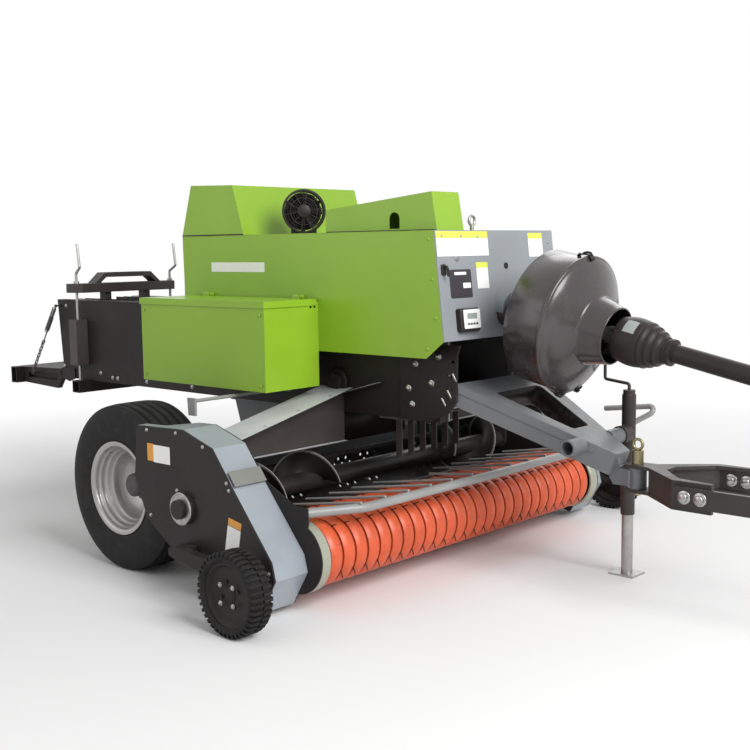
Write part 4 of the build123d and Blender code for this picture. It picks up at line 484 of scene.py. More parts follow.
def plated(name, tone):
    """Zinc or brass plating on small steel parts."""
    tree = Tree(name)
    base = tree.mix(tree.ramp(tree.noise(40.0, 6.0), 0.35, 0.7), rgba(tone, 0.8), rgba(tone, 1.15))
    return tree.finish(base, 0.32, bump=tree.noise(300.0), strength=0.1, distance=0.0003,
                       metallic=1.0)


def printed(name, tone):
    """Printed film or foil: an even tone, a little soiled, with a faint waviness."""
    tree = Tree(name)
    soil = tree.ramp(tree.noise(22.0, 6.0, 0.7), 0.5, 0.8, 0.0, 0.16)
    base = tree.mix(soil, rgba(tone), rgba(tone, 0.72))
    rough = tree.ramp(tree.noise(9.0), 0.3, 0.7, 0.34, 0.48)
    return tree.finish(base, rough, bump=tree.noise(60.0, 2.0), strength=0.04, distance=0.0004)


# Finishes by name, filled by make_finishes
FINISHES = {}


def make_finishes():
    """All finishes, by the record's material slots and a few of their own."""
    paints = bpy.context.scene.baler_colours
    FINISHES.update({
        # Paints: tone, roughness, dust, wear, clear coat, mottling, specular and metallic
        "body_green": sheet_paint("Body green", paints.green, 0.34, 0.05, 0.12, 0.15, 0.05),
        "hood_green": sheet_paint("Hood green", paints.green, 0.32, 0.05, 0.12, 0.15, 0.05),
        "grey_plate": sheet_paint("Front plate grey", paints.grey, 0.36, 0.1, 0.3, 0.15),
        "frame_grey": sheet_paint("Frame grey", paints.frame, 0.42, 0.3, 0.5, 0.1, 0.2, 0.4),
        "chamber_black": sheet_paint("Chamber black", paints.black, 0.45, 0.12, 0.5, 0.0, 0.3,
                                     0.22),
        "shield_black": sheet_paint("Shield black", paints.black, 0.42, 0.12, 0.5, 0.0, 0.3,
                                    0.25),
        "strip_grey": sheet_paint("Strip grey", paints.strip, 0.34, 0.2, 0.4, 0.2, 0.12),
        # Dark wing paint, with a painted reflection of the sky on what faces up
        "wing_paint_with_painted_light": dark_paint_with_painted_light("Wing paint with painted light", (0.6, 0.61, 0.62), (0.035, 0.029, 0.027)),
        "hitch_black": sheet_paint("Hitch black", (0.04, 0.033, 0.031), 0.42, 0.3, 0.6, 0.0, 0.3,
                                   0.35),
        "auger_black": screw_paint("Auger black", (0.02, 0.017, 0.016), 0.145),
        "pipe_grey": sheet_paint("Pipe grey", (0.27, 0.27, 0.265), 0.4, 0.2, 0.4, 0.1, 0.2),
        "feeder_grey": sheet_paint("Feeder grey", (0.07, 0.062, 0.06), 0.45, 0.1, 0.5, 0.0, 0.2,
                                   0.3),
        "band_orange": band_enamel("Band orange", paints.orange),
        "bare_steel": worn_steel("Worn steel"),
        "rim_silver": sheet_paint("Rim silver", paints.silver, 0.3, 0.2, 0.4, 0.2, 0.12, 0.6,
                                  0.55),
        "tyre_rubber": rubber("Tyre rubber", paints.rubber),
        "cover_plastic": moulding("Cover plastic", paints.cover, 0.24, 0.3),
        "guard_plastic": moulding("Guard plastic", (0.02, 0.016, 0.015), 0.42, 0.0, 0.25),
        "iron": cast_iron("Cast iron"),
        "ring_olive": sheet_paint("Ring olive", paints.olive, 0.4, 0.3, 0.5, 0.15, 0.1),
        "pin_brass": plated("Pin plating", (0.3, 0.26, 0.15)),
        "zinc": plated("Zinc plating", (0.4, 0.39, 0.38)),
        # Printed films, with no words on them
        "label_white": printed("Label white", (0.86, 0.86, 0.84)),
        "label_lime": printed("Label lime", (0.72, 0.78, 0.1)),
        "label_orange": printed("Label orange", (0.75, 0.33, 0.04)),
        "label_dark": printed("Label dark", (0.035, 0.03, 0.035)),
        "screen_grey": printed("Screen grey", (0.3, 0.33, 0.32)),
        "splice_grey": sheet_paint("Splice grey", (0.2, 0.2, 0.19), 0.4, 0.2, 0.4, 0.15),
    })


OWN_FINISH = {"tension_beam": "hitch_black", "pickup_wings": "wing_paint_with_painted_light",
              "hitch_yoke": "hitch_black", "hitch_bars": "hitch_black", "auger": "auger_black",
              "wind_guard": "pipe_grey", "feeder_guides": "feeder_grey",
              "body_frame": "chamber_black", "spring_boxes": "feeder_grey",
              "chute_chains": "iron", "jack_tube": "hitch_black", "lift_shaft": "pipe_grey"}


def finish_nodes():
    """Give every CAD node the finish of its material slot, or one of its own."""
    for part in FRAME["record"]["subparts"]:
        node = NODES[part["node"]]
        node.data.materials.clear()
        finish = OWN_FINISH.get(part["node"], part["material_slot"])
        node.data.materials.append(FINISHES[finish])


# --- Places on the machine -------------------------------------------------------------------

SIDES = (("right", -1.0), ("left", 1.0))
RIGHT = (0.0, -1.0, 0.0)
LEFT = (0.0, 1.0, 0.0)
UP = (0.0, 0.0, 1.0)
AXLE = joint_place("wheel_right_spin") * [1.0, 0.0, 0.0]
# Distances of faces from the machine's middle plane
BODY_FACE = 0.43
BOX_FACE = 0.766
CHAMBER_FACE = 0.3002
BRACKET_FACE = 0.3106
SHIELD_FACE = 1.198


def at_axle(points):
    """Points measured from the main axle's line on the ground, moved into the row frame."""
    return np.atleast_2d(np.array(points, float)) + AXLE


def on_side(face, seats):
    """Rows of (x, z) seats on a face at this signed distance from the middle plane."""
    return at_axle([(x, face, z) for x, z in seats])


def line(start, end, steps):
    """Straight run of points between two places, measured as for at_axle."""
    share = np.linspace(0.0, 1.0, steps)[:, None]
    return at_axle(start) * (1 - share) + at_axle(end) * share


def rounded_outline(width, height, corner, steps=5):
    """Rectangle of (u, v) points about its middle: four quarter circles, one at each corner."""
    quarter = np.linspace(0.0, np.pi / 2, steps)
    angle = (quarter[None] + np.arange(4)[:, None] * np.pi / 2).ravel()
    middle_u = np.repeat([1, -1, -1, 1], steps) * (width / 2 - corner)
    middle_v = np.repeat([1, 1, -1, -1], steps) * (height / 2 - corner)
    return np.stack([middle_u + corner * np.cos(angle), middle_v + corner * np.sin(angle)],
                    axis=-1)


def panel(centre, across, up, size, thick, corner=0.004, soften=0.3):
    """Rounded rectangle raised off a plane: rings at its foot, its shoulder and its softened top,
    closed by a point in the middle of each face."""
    across = np.array(across, float) / np.linalg.norm(across)
    up = np.array(up, float) / np.linalg.norm(up)
    out = np.cross(across, up)
    outline = rounded_outline(size[0], size[1], corner)
    soft = min(thick * soften, corner * 0.6)
    shrink = 1.0 - 2.0 * soft / np.array(size)
    rings = [(0.0, 0.0), (0.0, 1.0), (thick - soft, 1.0), (thick, shrink), (thick, 0.0)]
    grid = np.stack([centre + (outline * scale) @ np.stack([across, up]) + out * height
                     for height, scale in rings])
    return surface(grid, wrap_v=True)


def strap(path, wide, width, thick):
    """Rectangle carried along a path: its long side along a fixed direction, its short side
    square to that and to the path; the ends are closed."""
    along = np.gradient(path, axis=0)
    along /= np.linalg.norm(along, axis=1, keepdims=True)
    wide = np.array(wide, float) / np.linalg.norm(wide)
    thin = np.cross(along, wide)
    thin /= np.linalg.norm(thin, axis=1, keepdims=True)
    corners = np.array([(-1, -1), (1, -1), (1, 1), (-1, 1)]) / 2.0
    body = (path[:, None] + wide * corners[None, :, :1] * width
            + thin[:, None] * corners[None, :, 1:] * thick)
    return capped(body, path)


def lathe(profile, base, axis, steps=96):
    """A closed loop of (height, radius) points turned about one axis."""
    return spun(np.vstack([profile, profile[:1]]), np.atleast_2d(base).astype(float),
                np.atleast_2d(axis).astype(float), steps)


def bolts(bases, axis, radius=0.009, washer=1.5):
    """Hexagon heads on round washers: two profiles turned about each bolt's axis."""
    axes = np.broadcast_to(np.array(axis, float), bases.shape)
    disc = np.array([(0, 0), (0, washer), (0.16, washer), (0.24, washer - 0.1), (0.24, 0)])
    head = np.array([(0.2, 0), (0.2, 1.0), (0.72, 1.0), (0.86, 0.86), (0.9, 0)])
    return joined([spun(disc * radius, bases, axes, 14), spun(head * radius, bases, axes, 6)])


def domed(bases, axis, radius=0.007):
    """Round-head screws: a low dome turned about each screw's axis."""
    axes = np.broadcast_to(np.array(axis, float), bases.shape)
    share = np.linspace(0.0, np.pi / 2, 5)
    dome = np.stack([0.55 * np.sin(share), np.cos(share)], axis=-1) * radius
    return spun(np.vstack([[(0.0, 0.0)], dome]), bases, axes, 12)


def spring(start, end, radius, wire, turns):
    """Helix of wire between two points."""
    share = np.linspace(0.0, 1.0, turns * 14 + 1)[:, None]
    side, up, _ = frames_of(np.array([end - start]))
    path = start + (end - start) * share + around(side, up, share * turns * 2 * np.pi) * radius
    return tube(path, wire, 6)


# --- Pieces ----------------------------------------------------------------------------------

# The front plate runs forward by FRONT_RUN as it falls by FRONT_FALL from its top edge
FRONT_TOP = (1.279, 1.515)
FRONT_RUN = 0.051
FRONT_FALL = 0.46
FRONT_TILT = np.array([-FRONT_RUN, 0.0, FRONT_FALL]) / np.hypot(FRONT_RUN, FRONT_FALL)
FRONT_OUT = np.array([FRONT_FALL, 0.0, FRONT_RUN]) / np.hypot(FRONT_RUN, FRONT_FALL)
DRIVE_AXIS = joint_axis("driveline_spin")
# Middle of the flywheel cover's rim
DRIVE_BASE = at_axle([(1.703, 0.0, 1.1125)])[0]


def on_front(y, z, lift=0.0):
    """Point on the sloping front plate's face, lifted off it."""
    x = FRONT_TOP[0] + (FRONT_TOP[1] - z) * FRONT_RUN / FRONT_FALL
    return at_axle([(x, y, z)])[0] + FRONT_OUT * (lift + 0.0002)


def main_tyre(side, sign, groove):
    """Ribbed tyre: a loop of (radius, y) points turned about the wheel's axle.  Across the tread
    the radius falls by the groove's depth wherever a rounded square wave of y is high."""
    low, high = box_of(f"wheel_tyre_{side}")
    centre = (low + high) / 2
    radius = (high[2] - low[2]) / 2
    half = (high[1] - low[1]) / 2
    bead_r = 0.1943
    # shares of the half width at which the tread and its grooves end
    tread_edge, groove_edge = 0.862, 0.84
    ribs = 5.0
    crown_fall = 0.012
    flank = np.array([(bead_r, 0.90), (0.2145, 0.925), (0.2185, 0.955), (0.236, 0.982),
                      (0.262, 0.998), (0.294, 1.0), (0.322, 0.985), (0.345, 0.95),
                      (0.361, 0.905), (0.3695, 0.868)]) * [1.0, half]
    across = np.linspace(tread_edge, -tread_edge, 121)
    wave = np.cos(across / tread_edge * np.pi * ribs)
    dip = 1.0 / (1.0 + np.exp(-(wave - 0.55) * 14.0))
    dip[np.abs(across) > groove_edge] = 0.0
    tread = np.stack([radius - crown_fall * across ** 4 - groove * dip, across * half], axis=-1)
    bore = np.array([(bead_r, -0.5 * half), (bead_r, 0.5 * half)])
    loop = np.vstack([flank, tread, flank[::-1] * [1.0, -1.0], bore])
    return turned_y(loop * [1.0, sign], centre, 160)


BANDS = 26
BAND_PITCH = 0.0733


def set_out(part, count):
    """So many copies along Y at the bands' pitch, evenly about the middle."""
    moves = np.zeros((count, 3))
    moves[:, 1] = (np.arange(count) - (count - 1) / 2) * BAND_PITCH
    return copies(part, moves)


def band_loop(radius, tail):
    """(x, z) points of the U that a band follows from its upper tail to its lower tail."""
    angle = np.linspace(np.pi / 2, -np.pi / 2, 28)
    arc = np.stack([radius * np.cos(angle), radius * np.sin(angle)], axis=-1)
    start = np.stack([np.linspace(-tail, 0, 4)[:-1], np.full(3, radius)], axis=-1)
    return np.vstack([start, arc, start[::-1] * [1.0, -1.0]])


def stripper_bands(crown):
    """Stripper bands: a section crowned across its width by a parabola and turned in at its
    edges, carried along a U round the reel and repeated along Y."""
    low, high = box_of("stripper_bands")
    reel = joint_place("reel_spin")
    base = band_loop((high[2] - low[2]) / 2, reel[0] - low[0])
    half_wide, edge_wall = 0.0312, 0.0016
    wall = 0.0022
    turned_in = 0.011
    across = np.concatenate([[-1.0], np.linspace(-1, 1, 9), [1.0]])
    lift = -crown * across ** 2
    under = lift - wall
    lift[[0, -1]] -= turned_in
    under[[0, -1]] = lift[[0, -1]]
    section = np.vstack([np.stack([across * half_wide, lift], axis=-1),
                         np.stack([across[::-1] * (half_wide - edge_wall), under[::-1]],
                                  axis=-1)])
    outward = np.stack([np.maximum(base[:, 0], 0.0), base[:, 1]], axis=-1)
    outward /= np.linalg.norm(outward, axis=1, keepdims=True)
    points = np.zeros((len(base), len(section), 3))
    points[:, :, 0] = reel[0] + base[:, None, 0] + outward[:, None, 0] * section[None, :, 1]
    points[:, :, 2] = reel[2] + base[:, None, 1] + outward[:, None, 1] * section[None, :, 1]
    points[:, :, 1] = section[None, :, 0]
    return set_out(surface(points, wrap_v=True), BANDS)


def tined_reel(wire):
    """Reel: a shaft with five discs and four bars, and on each bar, in every gap between the
    bands, a tine whose wire is coiled beside the bar and then sweeps out and back."""
    centre = joint_place("reel_spin")
    low, high = box_of("reel")
    bar_half = BANDS * BAND_PITCH / 2
    bar_at, bar_r = 0.088, 0.012
    web_r, web_half = 0.106, 0.004
    coil_r, coil_wide = 0.0155, 0.02
    reach = 0.0475
    discs = np.linspace(-1, 1, 5)[:, None] * [0.0, 0.98 * bar_half, 0.0]
    axes = np.broadcast_to([0.0, 1.0, 0.0], discs.shape)
    web = np.array([(-web_half, 0), (-web_half, web_r), (web_half, web_r), (web_half, 0)])
    shaft = np.array([(low[1], 0.0), (low[1], 0.02), (high[1], 0.02), (high[1], 0.0)])
    parts = [spun(web, discs + centre, axes, 40),
             spun(shaft, centre[None] * [1, 0, 1], axes[:1], 20)]
    angle = np.linspace(0.0, 4 * np.pi, 22)
    coil = np.stack([bar_at + coil_r * np.cos(angle),
                     angle / (4 * np.pi) * coil_wide - coil_wide, coil_r * np.sin(angle)],
                    axis=-1)
    share = np.linspace(0.0, 1.0, 7)[1:]
    leg = np.stack([bar_at + coil_r + reach * share, 0 * share,
                    -0.012 * share - 0.016 * share ** 3], axis=-1)
    tines = set_out(tube(np.vstack([coil, leg]), wire, 5), BANDS - 1)
    bar = spun(np.array([(-bar_half, 0), (-bar_half, bar_r), (bar_half, bar_r), (bar_half, 0)]),
               np.array([(bar_at, 0.0, 0.0)]), axes[:1], 14)
    points, quads = joined([tines, bar])
    for turn in np.radians([64.0, 154.0, 244.0, 334.0]):
        spin = np.array([(np.cos(turn), 0, -np.sin(turn)), (0, 1, 0),
                         (np.sin(turn), 0, np.cos(turn))])
        parts.append((points @ spin.T + centre, quads))
    return joined(parts)


# The cover's outside from its housing to its rim, as (along, radius) from the rim's middle
HOUSING_END = -0.42
DRUM_BACK = -0.189
COVER_WALL = 0.005
COVER_OUTSIDE = ((HOUSING_END, 0.055), (DRUM_BACK, 0.055), (-0.185, 0.06), (-0.185, 0.277),
                 (-0.177, 0.285), (-0.016, 0.2855), (-0.012, 0.294), (-0.007, 0.2958),
                 (0.0, 0.2956), (0.004, 0.292), (0.006, 0.286))


def cover_loop():
    """(along, radius) loop of the cover: drum, rolled rim, a dome that falls by a power of its
    length, and a tapered neck with a rounded root and lip; the inside lies a wall within it."""
    share = np.linspace(0.0, 1.0, 15)
    dome = np.stack([0.008 + 0.068 * share, 0.283 - 0.131 * share ** 1.3], axis=-1)
    neck = np.array([(0.078, 0.1475), (0.083, 0.1435), (0.092, 0.1405), (0.12, 0.1343),
                     (0.15, 0.127), (0.176, 0.1205), (0.18, 0.1205), (0.182, 0.1185)])
    outside = np.vstack([COVER_OUTSIDE, dome, neck])
    inside = np.vstack([[(HOUSING_END, 0.05), (-0.18, 0.05), (-0.18, 0.28), (0.002, 0.28)],
                        dome - [COVER_WALL, COVER_WALL], [(0.079, 0.139), (0.182, 0.1145)]])
    return np.vstack([outside, inside[::-1]])


def flywheel_cover():
    """Moulded cover, turned about the driveline.  Its shaft housing is turned level behind the
    drum, and carried back until its end lies on the sloping front plate."""
    points, quads = lathe(cover_loop(), DRIVE_BASE, DRIVE_AXIS, 120)
    along = (points - DRIVE_BASE) @ DRIVE_AXIS
    foot = on_front(0.0, 1.2)
    level = np.array([-1.0, 0.0, 0.0])
    start = points - (along - DRUM_BACK)[:, None] * DRIVE_AXIS
    reach = ((foot - start) @ FRONT_OUT) / (level @ FRONT_OUT)
    behind = (along < DRUM_BACK - 0.011)[:, None]
    return np.where(behind, start + reach[:, None] * level, points), quads


def cover_latches():
    """Spring latches over the rim of the cover, above and below: a strap that steps over the
    rim, with a domed rivet at its foot and a round toggle on it."""
    up = np.cross(RIGHT, DRIVE_AXIS)
    up /= np.linalg.norm(up)
    route = np.array([(-0.052, 0.2865), (-0.048, 0.293), (-0.034, 0.297), (-0.016, 0.3),
                      (0.002, 0.3005), (0.012, 0.294), (0.018, 0.281)])
    toggle_lift = np.array([0.003, 0.009, 0.009, 0.005])[:, None]
    parts = []
    for turn in np.radians([4.0, 172.0, 196.0]):
        way = around(up, np.array(RIGHT), turn)
        path = DRIVE_BASE + route[:, :1] * DRIVE_AXIS + route[:, 1:] * way
        parts.append(strap(path, np.cross(way, DRIVE_AXIS), 0.026, 0.005))
        parts.append(domed(path[[1]] + way * 0.002, way, 0.008))
        parts.append(tube(path[2:6] + way * toggle_lift, 0.0045, 8))
    return joined(parts)


BELL_START = 0.206
BELL_LONG = 0.114


def bell_radius(share):
    """Radius of the guard's bell along it: a swelling that follows part of a sine."""
    return 0.087 + 0.0128 * np.sin(np.pi * (0.05 + 0.78 * share))


def guard_bell():
    """Rear guard: (along, radius) loop of a swollen bell with moulded ribs, a stepped throat, a
    locking collar and the outer guard tube."""
    share = np.linspace(0.0, 1.0, 19)
    bell = np.stack([BELL_START + BELL_LONG * share, bell_radius(share)], axis=-1)
    throat = np.array([(0.322, 0.0918), (0.325, 0.0945), (0.333, 0.0935), (0.336, 0.088),
                       (0.35, 0.0835), (0.353, 0.0855), (0.361, 0.0835), (0.364, 0.077),
                       (0.378, 0.0715), (0.381, 0.073), (0.389, 0.0705), (0.392, 0.0635),
                       (0.402, 0.0575), (0.41, 0.056), (0.412, 0.0498), (0.426, 0.0488),
                       (0.429, 0.0545), (0.443, 0.054), (0.446, 0.0375), (1.06, 0.0375)])
    outside = np.vstack([bell, throat])
    inside = np.array([(1.06, 0.0345), (0.45, 0.0345), (0.4, 0.0445), (0.372, 0.058),
                       (0.33, 0.076), (0.308, 0.084), (0.23, 0.0845), (0.206, 0.0842)])
    return lathe(np.vstack([outside, inside]), DRIVE_BASE, DRIVE_AXIS, 72)


def trough_pan():
    """Pan under the augers: a (x, z) profile of rear wall, round bottom and slope carried along
    Y, in square cells; in the patches of perforation a cell is a ring of faces round a hole."""
    low, high = box_of("auger_trough")
    pivot = joint_place("auger_spin")
    centre = np.array([pivot[0], pivot[2]])
    inner = 0.1605
    wall_x = centre[0] - inner
    back = np.stack([np.full(5, wall_x), np.linspace(high[2], centre[1], 5)], axis=-1)[:-1]
    angle = np.radians(np.linspace(180.0, 325.0, 22))
    bottom = centre + inner * np.stack([np.cos(angle), np.sin(angle)], axis=-1)
    slope_end = np.array([high[0] - 0.036, 0.3597])
    slope = bottom[-1] + (slope_end - bottom[-1]) * np.linspace(0, 1, 7)[1:, None]
    ledge = slope[-1:] + [[0.036, 0.0]]
    route = np.vstack([back, bottom, slope, ledge])
    travel = np.concatenate([[0], np.cumsum(np.linalg.norm(np.diff(route, axis=0), axis=1))])
    cell = 0.0266
    rows = int(travel[-1] / cell)
    columns = int((high[1] - low[1]) / cell)
    grid_s = np.linspace(0, travel[-1], rows + 1)
    grid_y = np.linspace(low[1], high[1], columns + 1)

    def on_pan(along, y):
        """Point of the pan at this travel along the profile and at this y."""
        return np.stack([np.interp(along, travel, route[:, 0]), y,
                         np.interp(along, travel, route[:, 1])], axis=-1)

    mid_y = (grid_y[1:] + grid_y[:-1]) / 2
    mid_s = (grid_s[1:] + grid_s[:-1]) / 2
    patch = np.abs(np.abs(mid_y)[:, None] - [[0.095, 0.48, 0.9]]).min(axis=1) < 0.075
    holed = patch[None, :] & ((mid_s > 0.03) & (mid_s < 0.2))[:, None]
    holed &= (np.arange(len(mid_s))[:, None] + np.arange(len(mid_y))[None]) % 2 == 0
    row, column = np.nonzero(~holed)
    plain = np.stack([np.stack([grid_s[row + a], grid_y[column + b]], axis=-1)
                      for a, b in ((0, 0), (1, 0), (1, 1), (0, 1))], axis=1)
    points = on_pan(plain[..., 0], plain[..., 1]).reshape(-1, 3)
    quads = np.arange(len(points)).reshape(-1, 4)
    row, column = np.nonzero(holed)
    turn = np.linspace(0, 2 * np.pi, 16, endpoint=False) + np.pi / 4
    unit = np.stack([np.cos(turn), np.sin(turn)], axis=-1)
    square = unit / np.abs(unit).max(axis=1, keepdims=True) * 0.5
    size = np.array([grid_s[1] - grid_s[0], grid_y[1] - grid_y[0]])
    middle = np.stack([mid_s[row], mid_y[column]], axis=-1)[:, None]
    rings = np.stack([middle + square * size, middle + unit * 0.0078], axis=1)
    ring_points = on_pan(rings[..., 0], rings[..., 1]).reshape(-1, 3)
    index = np.arange(len(ring_points)).reshape(-1, 2, 16)
    ahead = np.roll(index, -1, axis=2)
    ring_quads = np.stack([index[:, 0], index[:, 1], ahead[:, 1], ahead[:, 0]], axis=-1)
    return joined([(points, quads), (ring_points, ring_quads.reshape(-1, 4))])


def gauge_bolts(side, sign):
    """Four bolts on the outer face of a gauge wheel."""
    spin = joint_place(f"gauge_{side}_spin")
    low, high = box_of(f"gauge_disc_{side}")
    face = low[1] if sign < 0 else high[1]
    angle = np.radians([45.0, 135.0, 225.0, 315.0])
    ring = np.stack([spin[0] + 0.05 * np.cos(angle), np.full(4, face),
                     spin[2] + 0.05 * np.sin(angle)], axis=-1)
    return bolts(ring, (0.0, sign, 0.0), 0.0075, 1.35)


FRONT_PLATES = (
    # piece, finish, and its plates as rows of (y, z, width, height, lift, thick, corner)
    ("front_blank_plates", "label_white", (
        (-0.249, 1.444, 0.352, 0.076, 0.0, 0.0014, 0.003),
        (-0.131, 1.3105, 0.081, 0.089, 0.0, 0.0012, 0.003),
        (0.287, 1.437, 0.112, 0.082, 0.0, 0.0012, 0.003))),
    ("front_plate_caps", "label_lime", (
        (-0.249, 1.4965, 0.352, 0.028, 0.0, 0.0014, 0.003),
        (-0.131, 1.3665, 0.081, 0.024, 0.0, 0.0012, 0.003),
        (0.287, 1.4905, 0.112, 0.026, 0.0, 0.0012, 0.003))),
    ("data_plate", "label_dark", ((-0.286, 1.291, 0.148, 0.12, 0.0, 0.0012, 0.008),)),
    ("data_plate_fields", "label_white", (
        (-0.286, 1.334, 0.08, 0.012, 0.0012, 0.0006, 0.002),
        (-0.247, 1.283, 0.052, 0.022, 0.0012, 0.0006, 0.002))),
    ("counter_case", "guard_plastic", ((-0.274, 1.138, 0.132, 0.1, 0.0, 0.03, 0.012),)),
    ("counter_face", "label_white", ((-0.27, 1.141, 0.112, 0.08, 0.03, 0.0015, 0.006),)),
    ("counter_screen", "screen_grey", ((-0.27, 1.153, 0.066, 0.024, 0.0315, 0.0008, 0.002),)),
    ("counter_keys", "guard_plastic", tuple(
        (-0.298 + 0.019 * index, 1.1205, 0.0115, 0.0085, 0.0315, 0.0025, 0.002)
        for index in range(4))),
)


def plate_on_front(y, z, width, height, lift, thick, corner):
    """Rounded plate on the front plate's slope."""
    return panel(on_front(y, z, lift), LEFT, FRONT_TILT, (width, height), thick, corner)


def front_catch():
    """Catch on the front plate: a plate with a bent round lever."""
    lever = np.array([on_front(-0.398, 1.36, 0.006), on_front(-0.402, 1.362, 0.026),
                      on_front(-0.4, 1.345, 0.03), on_front(-0.396, 1.322, 0.026)])
    foot = plate_on_front(-0.396, 1.351, 0.03, 0.046, 0.0, 0.008, 0.008)
    return joined([foot, tube(lever, 0.006, 8)])


def service_grommet():
    """Rubber grommet in the front plate: a rounded ring turned about the plate's normal."""
    ring = np.array([(0.0, 0.0), (0.0, 0.014), (0.003, 0.014), (0.0035, 0.0105), (0.001, 0.009),
                     (0.001, 0.0)])
    return lathe(ring, on_front(0.045, 1.36), FRONT_OUT, 28)


def front_screws():
    """Screws of the plates and of the front plate itself."""
    seats = ((-0.389, 1.491, 0.001), (-0.259, 1.49, 0.001), (-0.144, 1.488, 0.001),
             (0.39, 1.46, 0.0), (0.39, 1.28, 0.0), (0.39, 1.1, 0.0), (-0.2, 1.075, 0.0),
             (0.2, 1.075, 0.0))
    return domed(np.array([on_front(*seat) for seat in seats]), FRONT_OUT, 0.0065)


def side_strip():
    """Blank strip on the right side panel."""
    return panel(at_axle([(0.044, -BODY_FACE - 0.0001, 1.36)])[0], (1.0, 0.0, 0.0), UP,
                 (0.39, 0.046), 0.0008, 0.002)


def shield_labels(sign):
    """Blank two-colour labels on a shield, one level and one along its front edge: the white
    fields and the orange heads."""
    y = sign * (SHIELD_FACE + 0.0002)
    steep = np.array([0.19, 0.0, 0.98])
    ways = (((-sign, 0.0, 0.0), UP), (np.cross(steep, (0.0, sign, 0.0)), steep))
    fields = ((0.42, 0.592, 0.112, 0.075), (0.866, 0.295, 0.078, 0.11))
    heads = ((0.343, 0.595, 0.042, 0.075), (0.88, 0.366, 0.078, 0.03))
    return [joined([panel(at_axle([(x, y, z)])[0], across, up, (width, height), 0.0009, 0.002)
                    for (x, z, width, height), (across, up) in zip(rows, ways)])
            for rows in (fields, heads)]


def panel_screws():
    """Screws along the front and rear edges of both side panels."""
    seats = ((1.248, 1.479), (1.266, 1.314), (1.283, 1.152), (1.238, 1.023), (-0.345, 1.47),
             (-0.345, 1.03))
    return joined([domed(on_side(-BODY_FACE, seats), RIGHT, 0.008),
                   domed(on_side(BODY_FACE, seats), LEFT, 0.008)])


def box_screws():
    """Screws at the corners of the twine box's outer face."""
    seats = ((0.57, 1.16), (0.57, 0.85), (-0.267, 1.16), (-0.267, 0.85))
    return domed(on_side(-BOX_FACE, seats), RIGHT, 0.007)


def shield_bolts(sign):
    """Bolts near the edge of a shield."""
    seats = ((0.322, 0.688), (0.52, 0.694), (0.694, 0.655), (0.836, 0.524), (0.85, 0.496),
             (0.517, 0.452), (0.33, 0.32), (0.52, 0.2), (1.0, 0.08), (1.075, 0.2))
    return bolts(on_side(sign * SHIELD_FACE, seats), (0.0, sign, 0.0), 0.0065, 1.3)


def bearing_face(sign):
    """Flange ring of the augers' bearing on a shield."""
    pivot = joint_place("auger_spin")
    base = np.array([pivot[0], sign * 1.2082, pivot[2]])
    ring = np.array([(0.0, 0.042), (0.0, 0.068), (0.004, 0.07), (0.012, 0.0695), (0.016, 0.066),
                     (0.016, 0.042)])
    return lathe(ring, base, (0.0, sign, 0.0), 48)


def strip_splice(sign):
    """Darker splice plate across the bend of a shield's strip, square to the strip's run."""
    start, end = at_axle([(0.832, 0.0, 0.5752), (0.884, 0.0, 0.5096)])
    run = (end - start) / np.linalg.norm(end - start)
    middle = (start + end) / 2 + [0.0, sign * 1.105, 0.0]
    return panel(middle, (0.0, sign, 0.0), run * sign, (0.168, 0.07), 0.0012, 0.002)


def frame_bolts():
    """Screws on the wings' flanges, and bolts on the brackets and on the chamber's sides."""
    flange = np.vstack([at_axle([(0.652, sign * 0.42, 0.7755), (0.652, sign * 0.62, 0.7306),
                                 (0.652, sign * 0.82, 0.6858)]) for _, sign in SIDES])
    bracket = ((1.07, 0.94), (1.03, 0.83), (1.05, 0.76), (1.2, 0.98), (1.02, 1.0), (1.16, 0.86))
    chamber = ((-1.678, 1.123), (-1.72, 0.76), (-1.344, 0.74), (-1.227, 0.72), (-1.176, 0.72),
               (-0.9, 1.12), (-0.9, 0.72), (-0.5, 0.72), (-0.5, 1.12))
    parts = [domed(flange, UP, 0.009)]
    for seats, face, radius in ((bracket, BRACKET_FACE, 0.011), (chamber, CHAMBER_FACE, 0.008)):
        for _, sign in SIDES:
            parts.append(bolts(on_side(sign * face, seats), (0.0, sign, 0.0), radius))
    return joined(parts)


def hitch_bolts():
    """Two large bolts through each hitch bar, with a head outside and a nut inside."""
    seats = ((2.302, 0.506), (2.366, 0.506))
    parts = []
    for _, sign in SIDES:
        for face, way in ((0.2203, sign), (0.18, -sign)):
            parts.append(bolts(on_side(sign * face, seats), (0.0, way, 0.0), 0.0185, 1.45))
    return joined(parts)


def packer_bearing():
    """Packer's bearing on the chamber's right side: a flanged ring with a hub, turned about Y."""
    base = on_side(-CHAMBER_FACE - 0.0002, ((0.596, 0.832),))[0]
    ring = np.array([(0.0, 0.0), (0.0, 0.062), (0.014, 0.062), (0.02, 0.056), (0.02, 0.04),
                     (0.034, 0.036), (0.034, 0.018), (0.03, 0.0)])
    return lathe(ring, base, RIGHT, 40)


def fan_line():
    """Middle of the knotter fan, and its axis pointing forward."""
    axis = joint_axis("fan_spin")
    return joint_place("fan_spin"), -axis if axis[0] < 0 else axis


def fan_guard():
    """Wire guard in front of the knotter fan: four rings, eight spokes and a cap."""
    spin, axis = fan_line()
    side, up, _ = frames_of(axis[None])
    wires = spin + axis * 0.036
    hoop = around(side, up, np.linspace(0, 2 * np.pi, 49)[:, None])
    parts = [tube(wires + hoop * radius, 0.0014, 5) for radius in (0.042, 0.054, 0.078, 0.089)]
    for way in around(side, up, np.radians(np.arange(0, 360, 45.0))[:, None]):
        parts.append(tube(wires + way * np.linspace(0.032, 0.092, 3)[:, None], 0.002, 5))
    cap = np.array([(0.034, 0.0), (0.034, 0.034), (0.038, 0.034), (0.041, 0.028), (0.042, 0.0)])
    parts.append(lathe(cap, spin, axis, 32))
    return joined(parts)


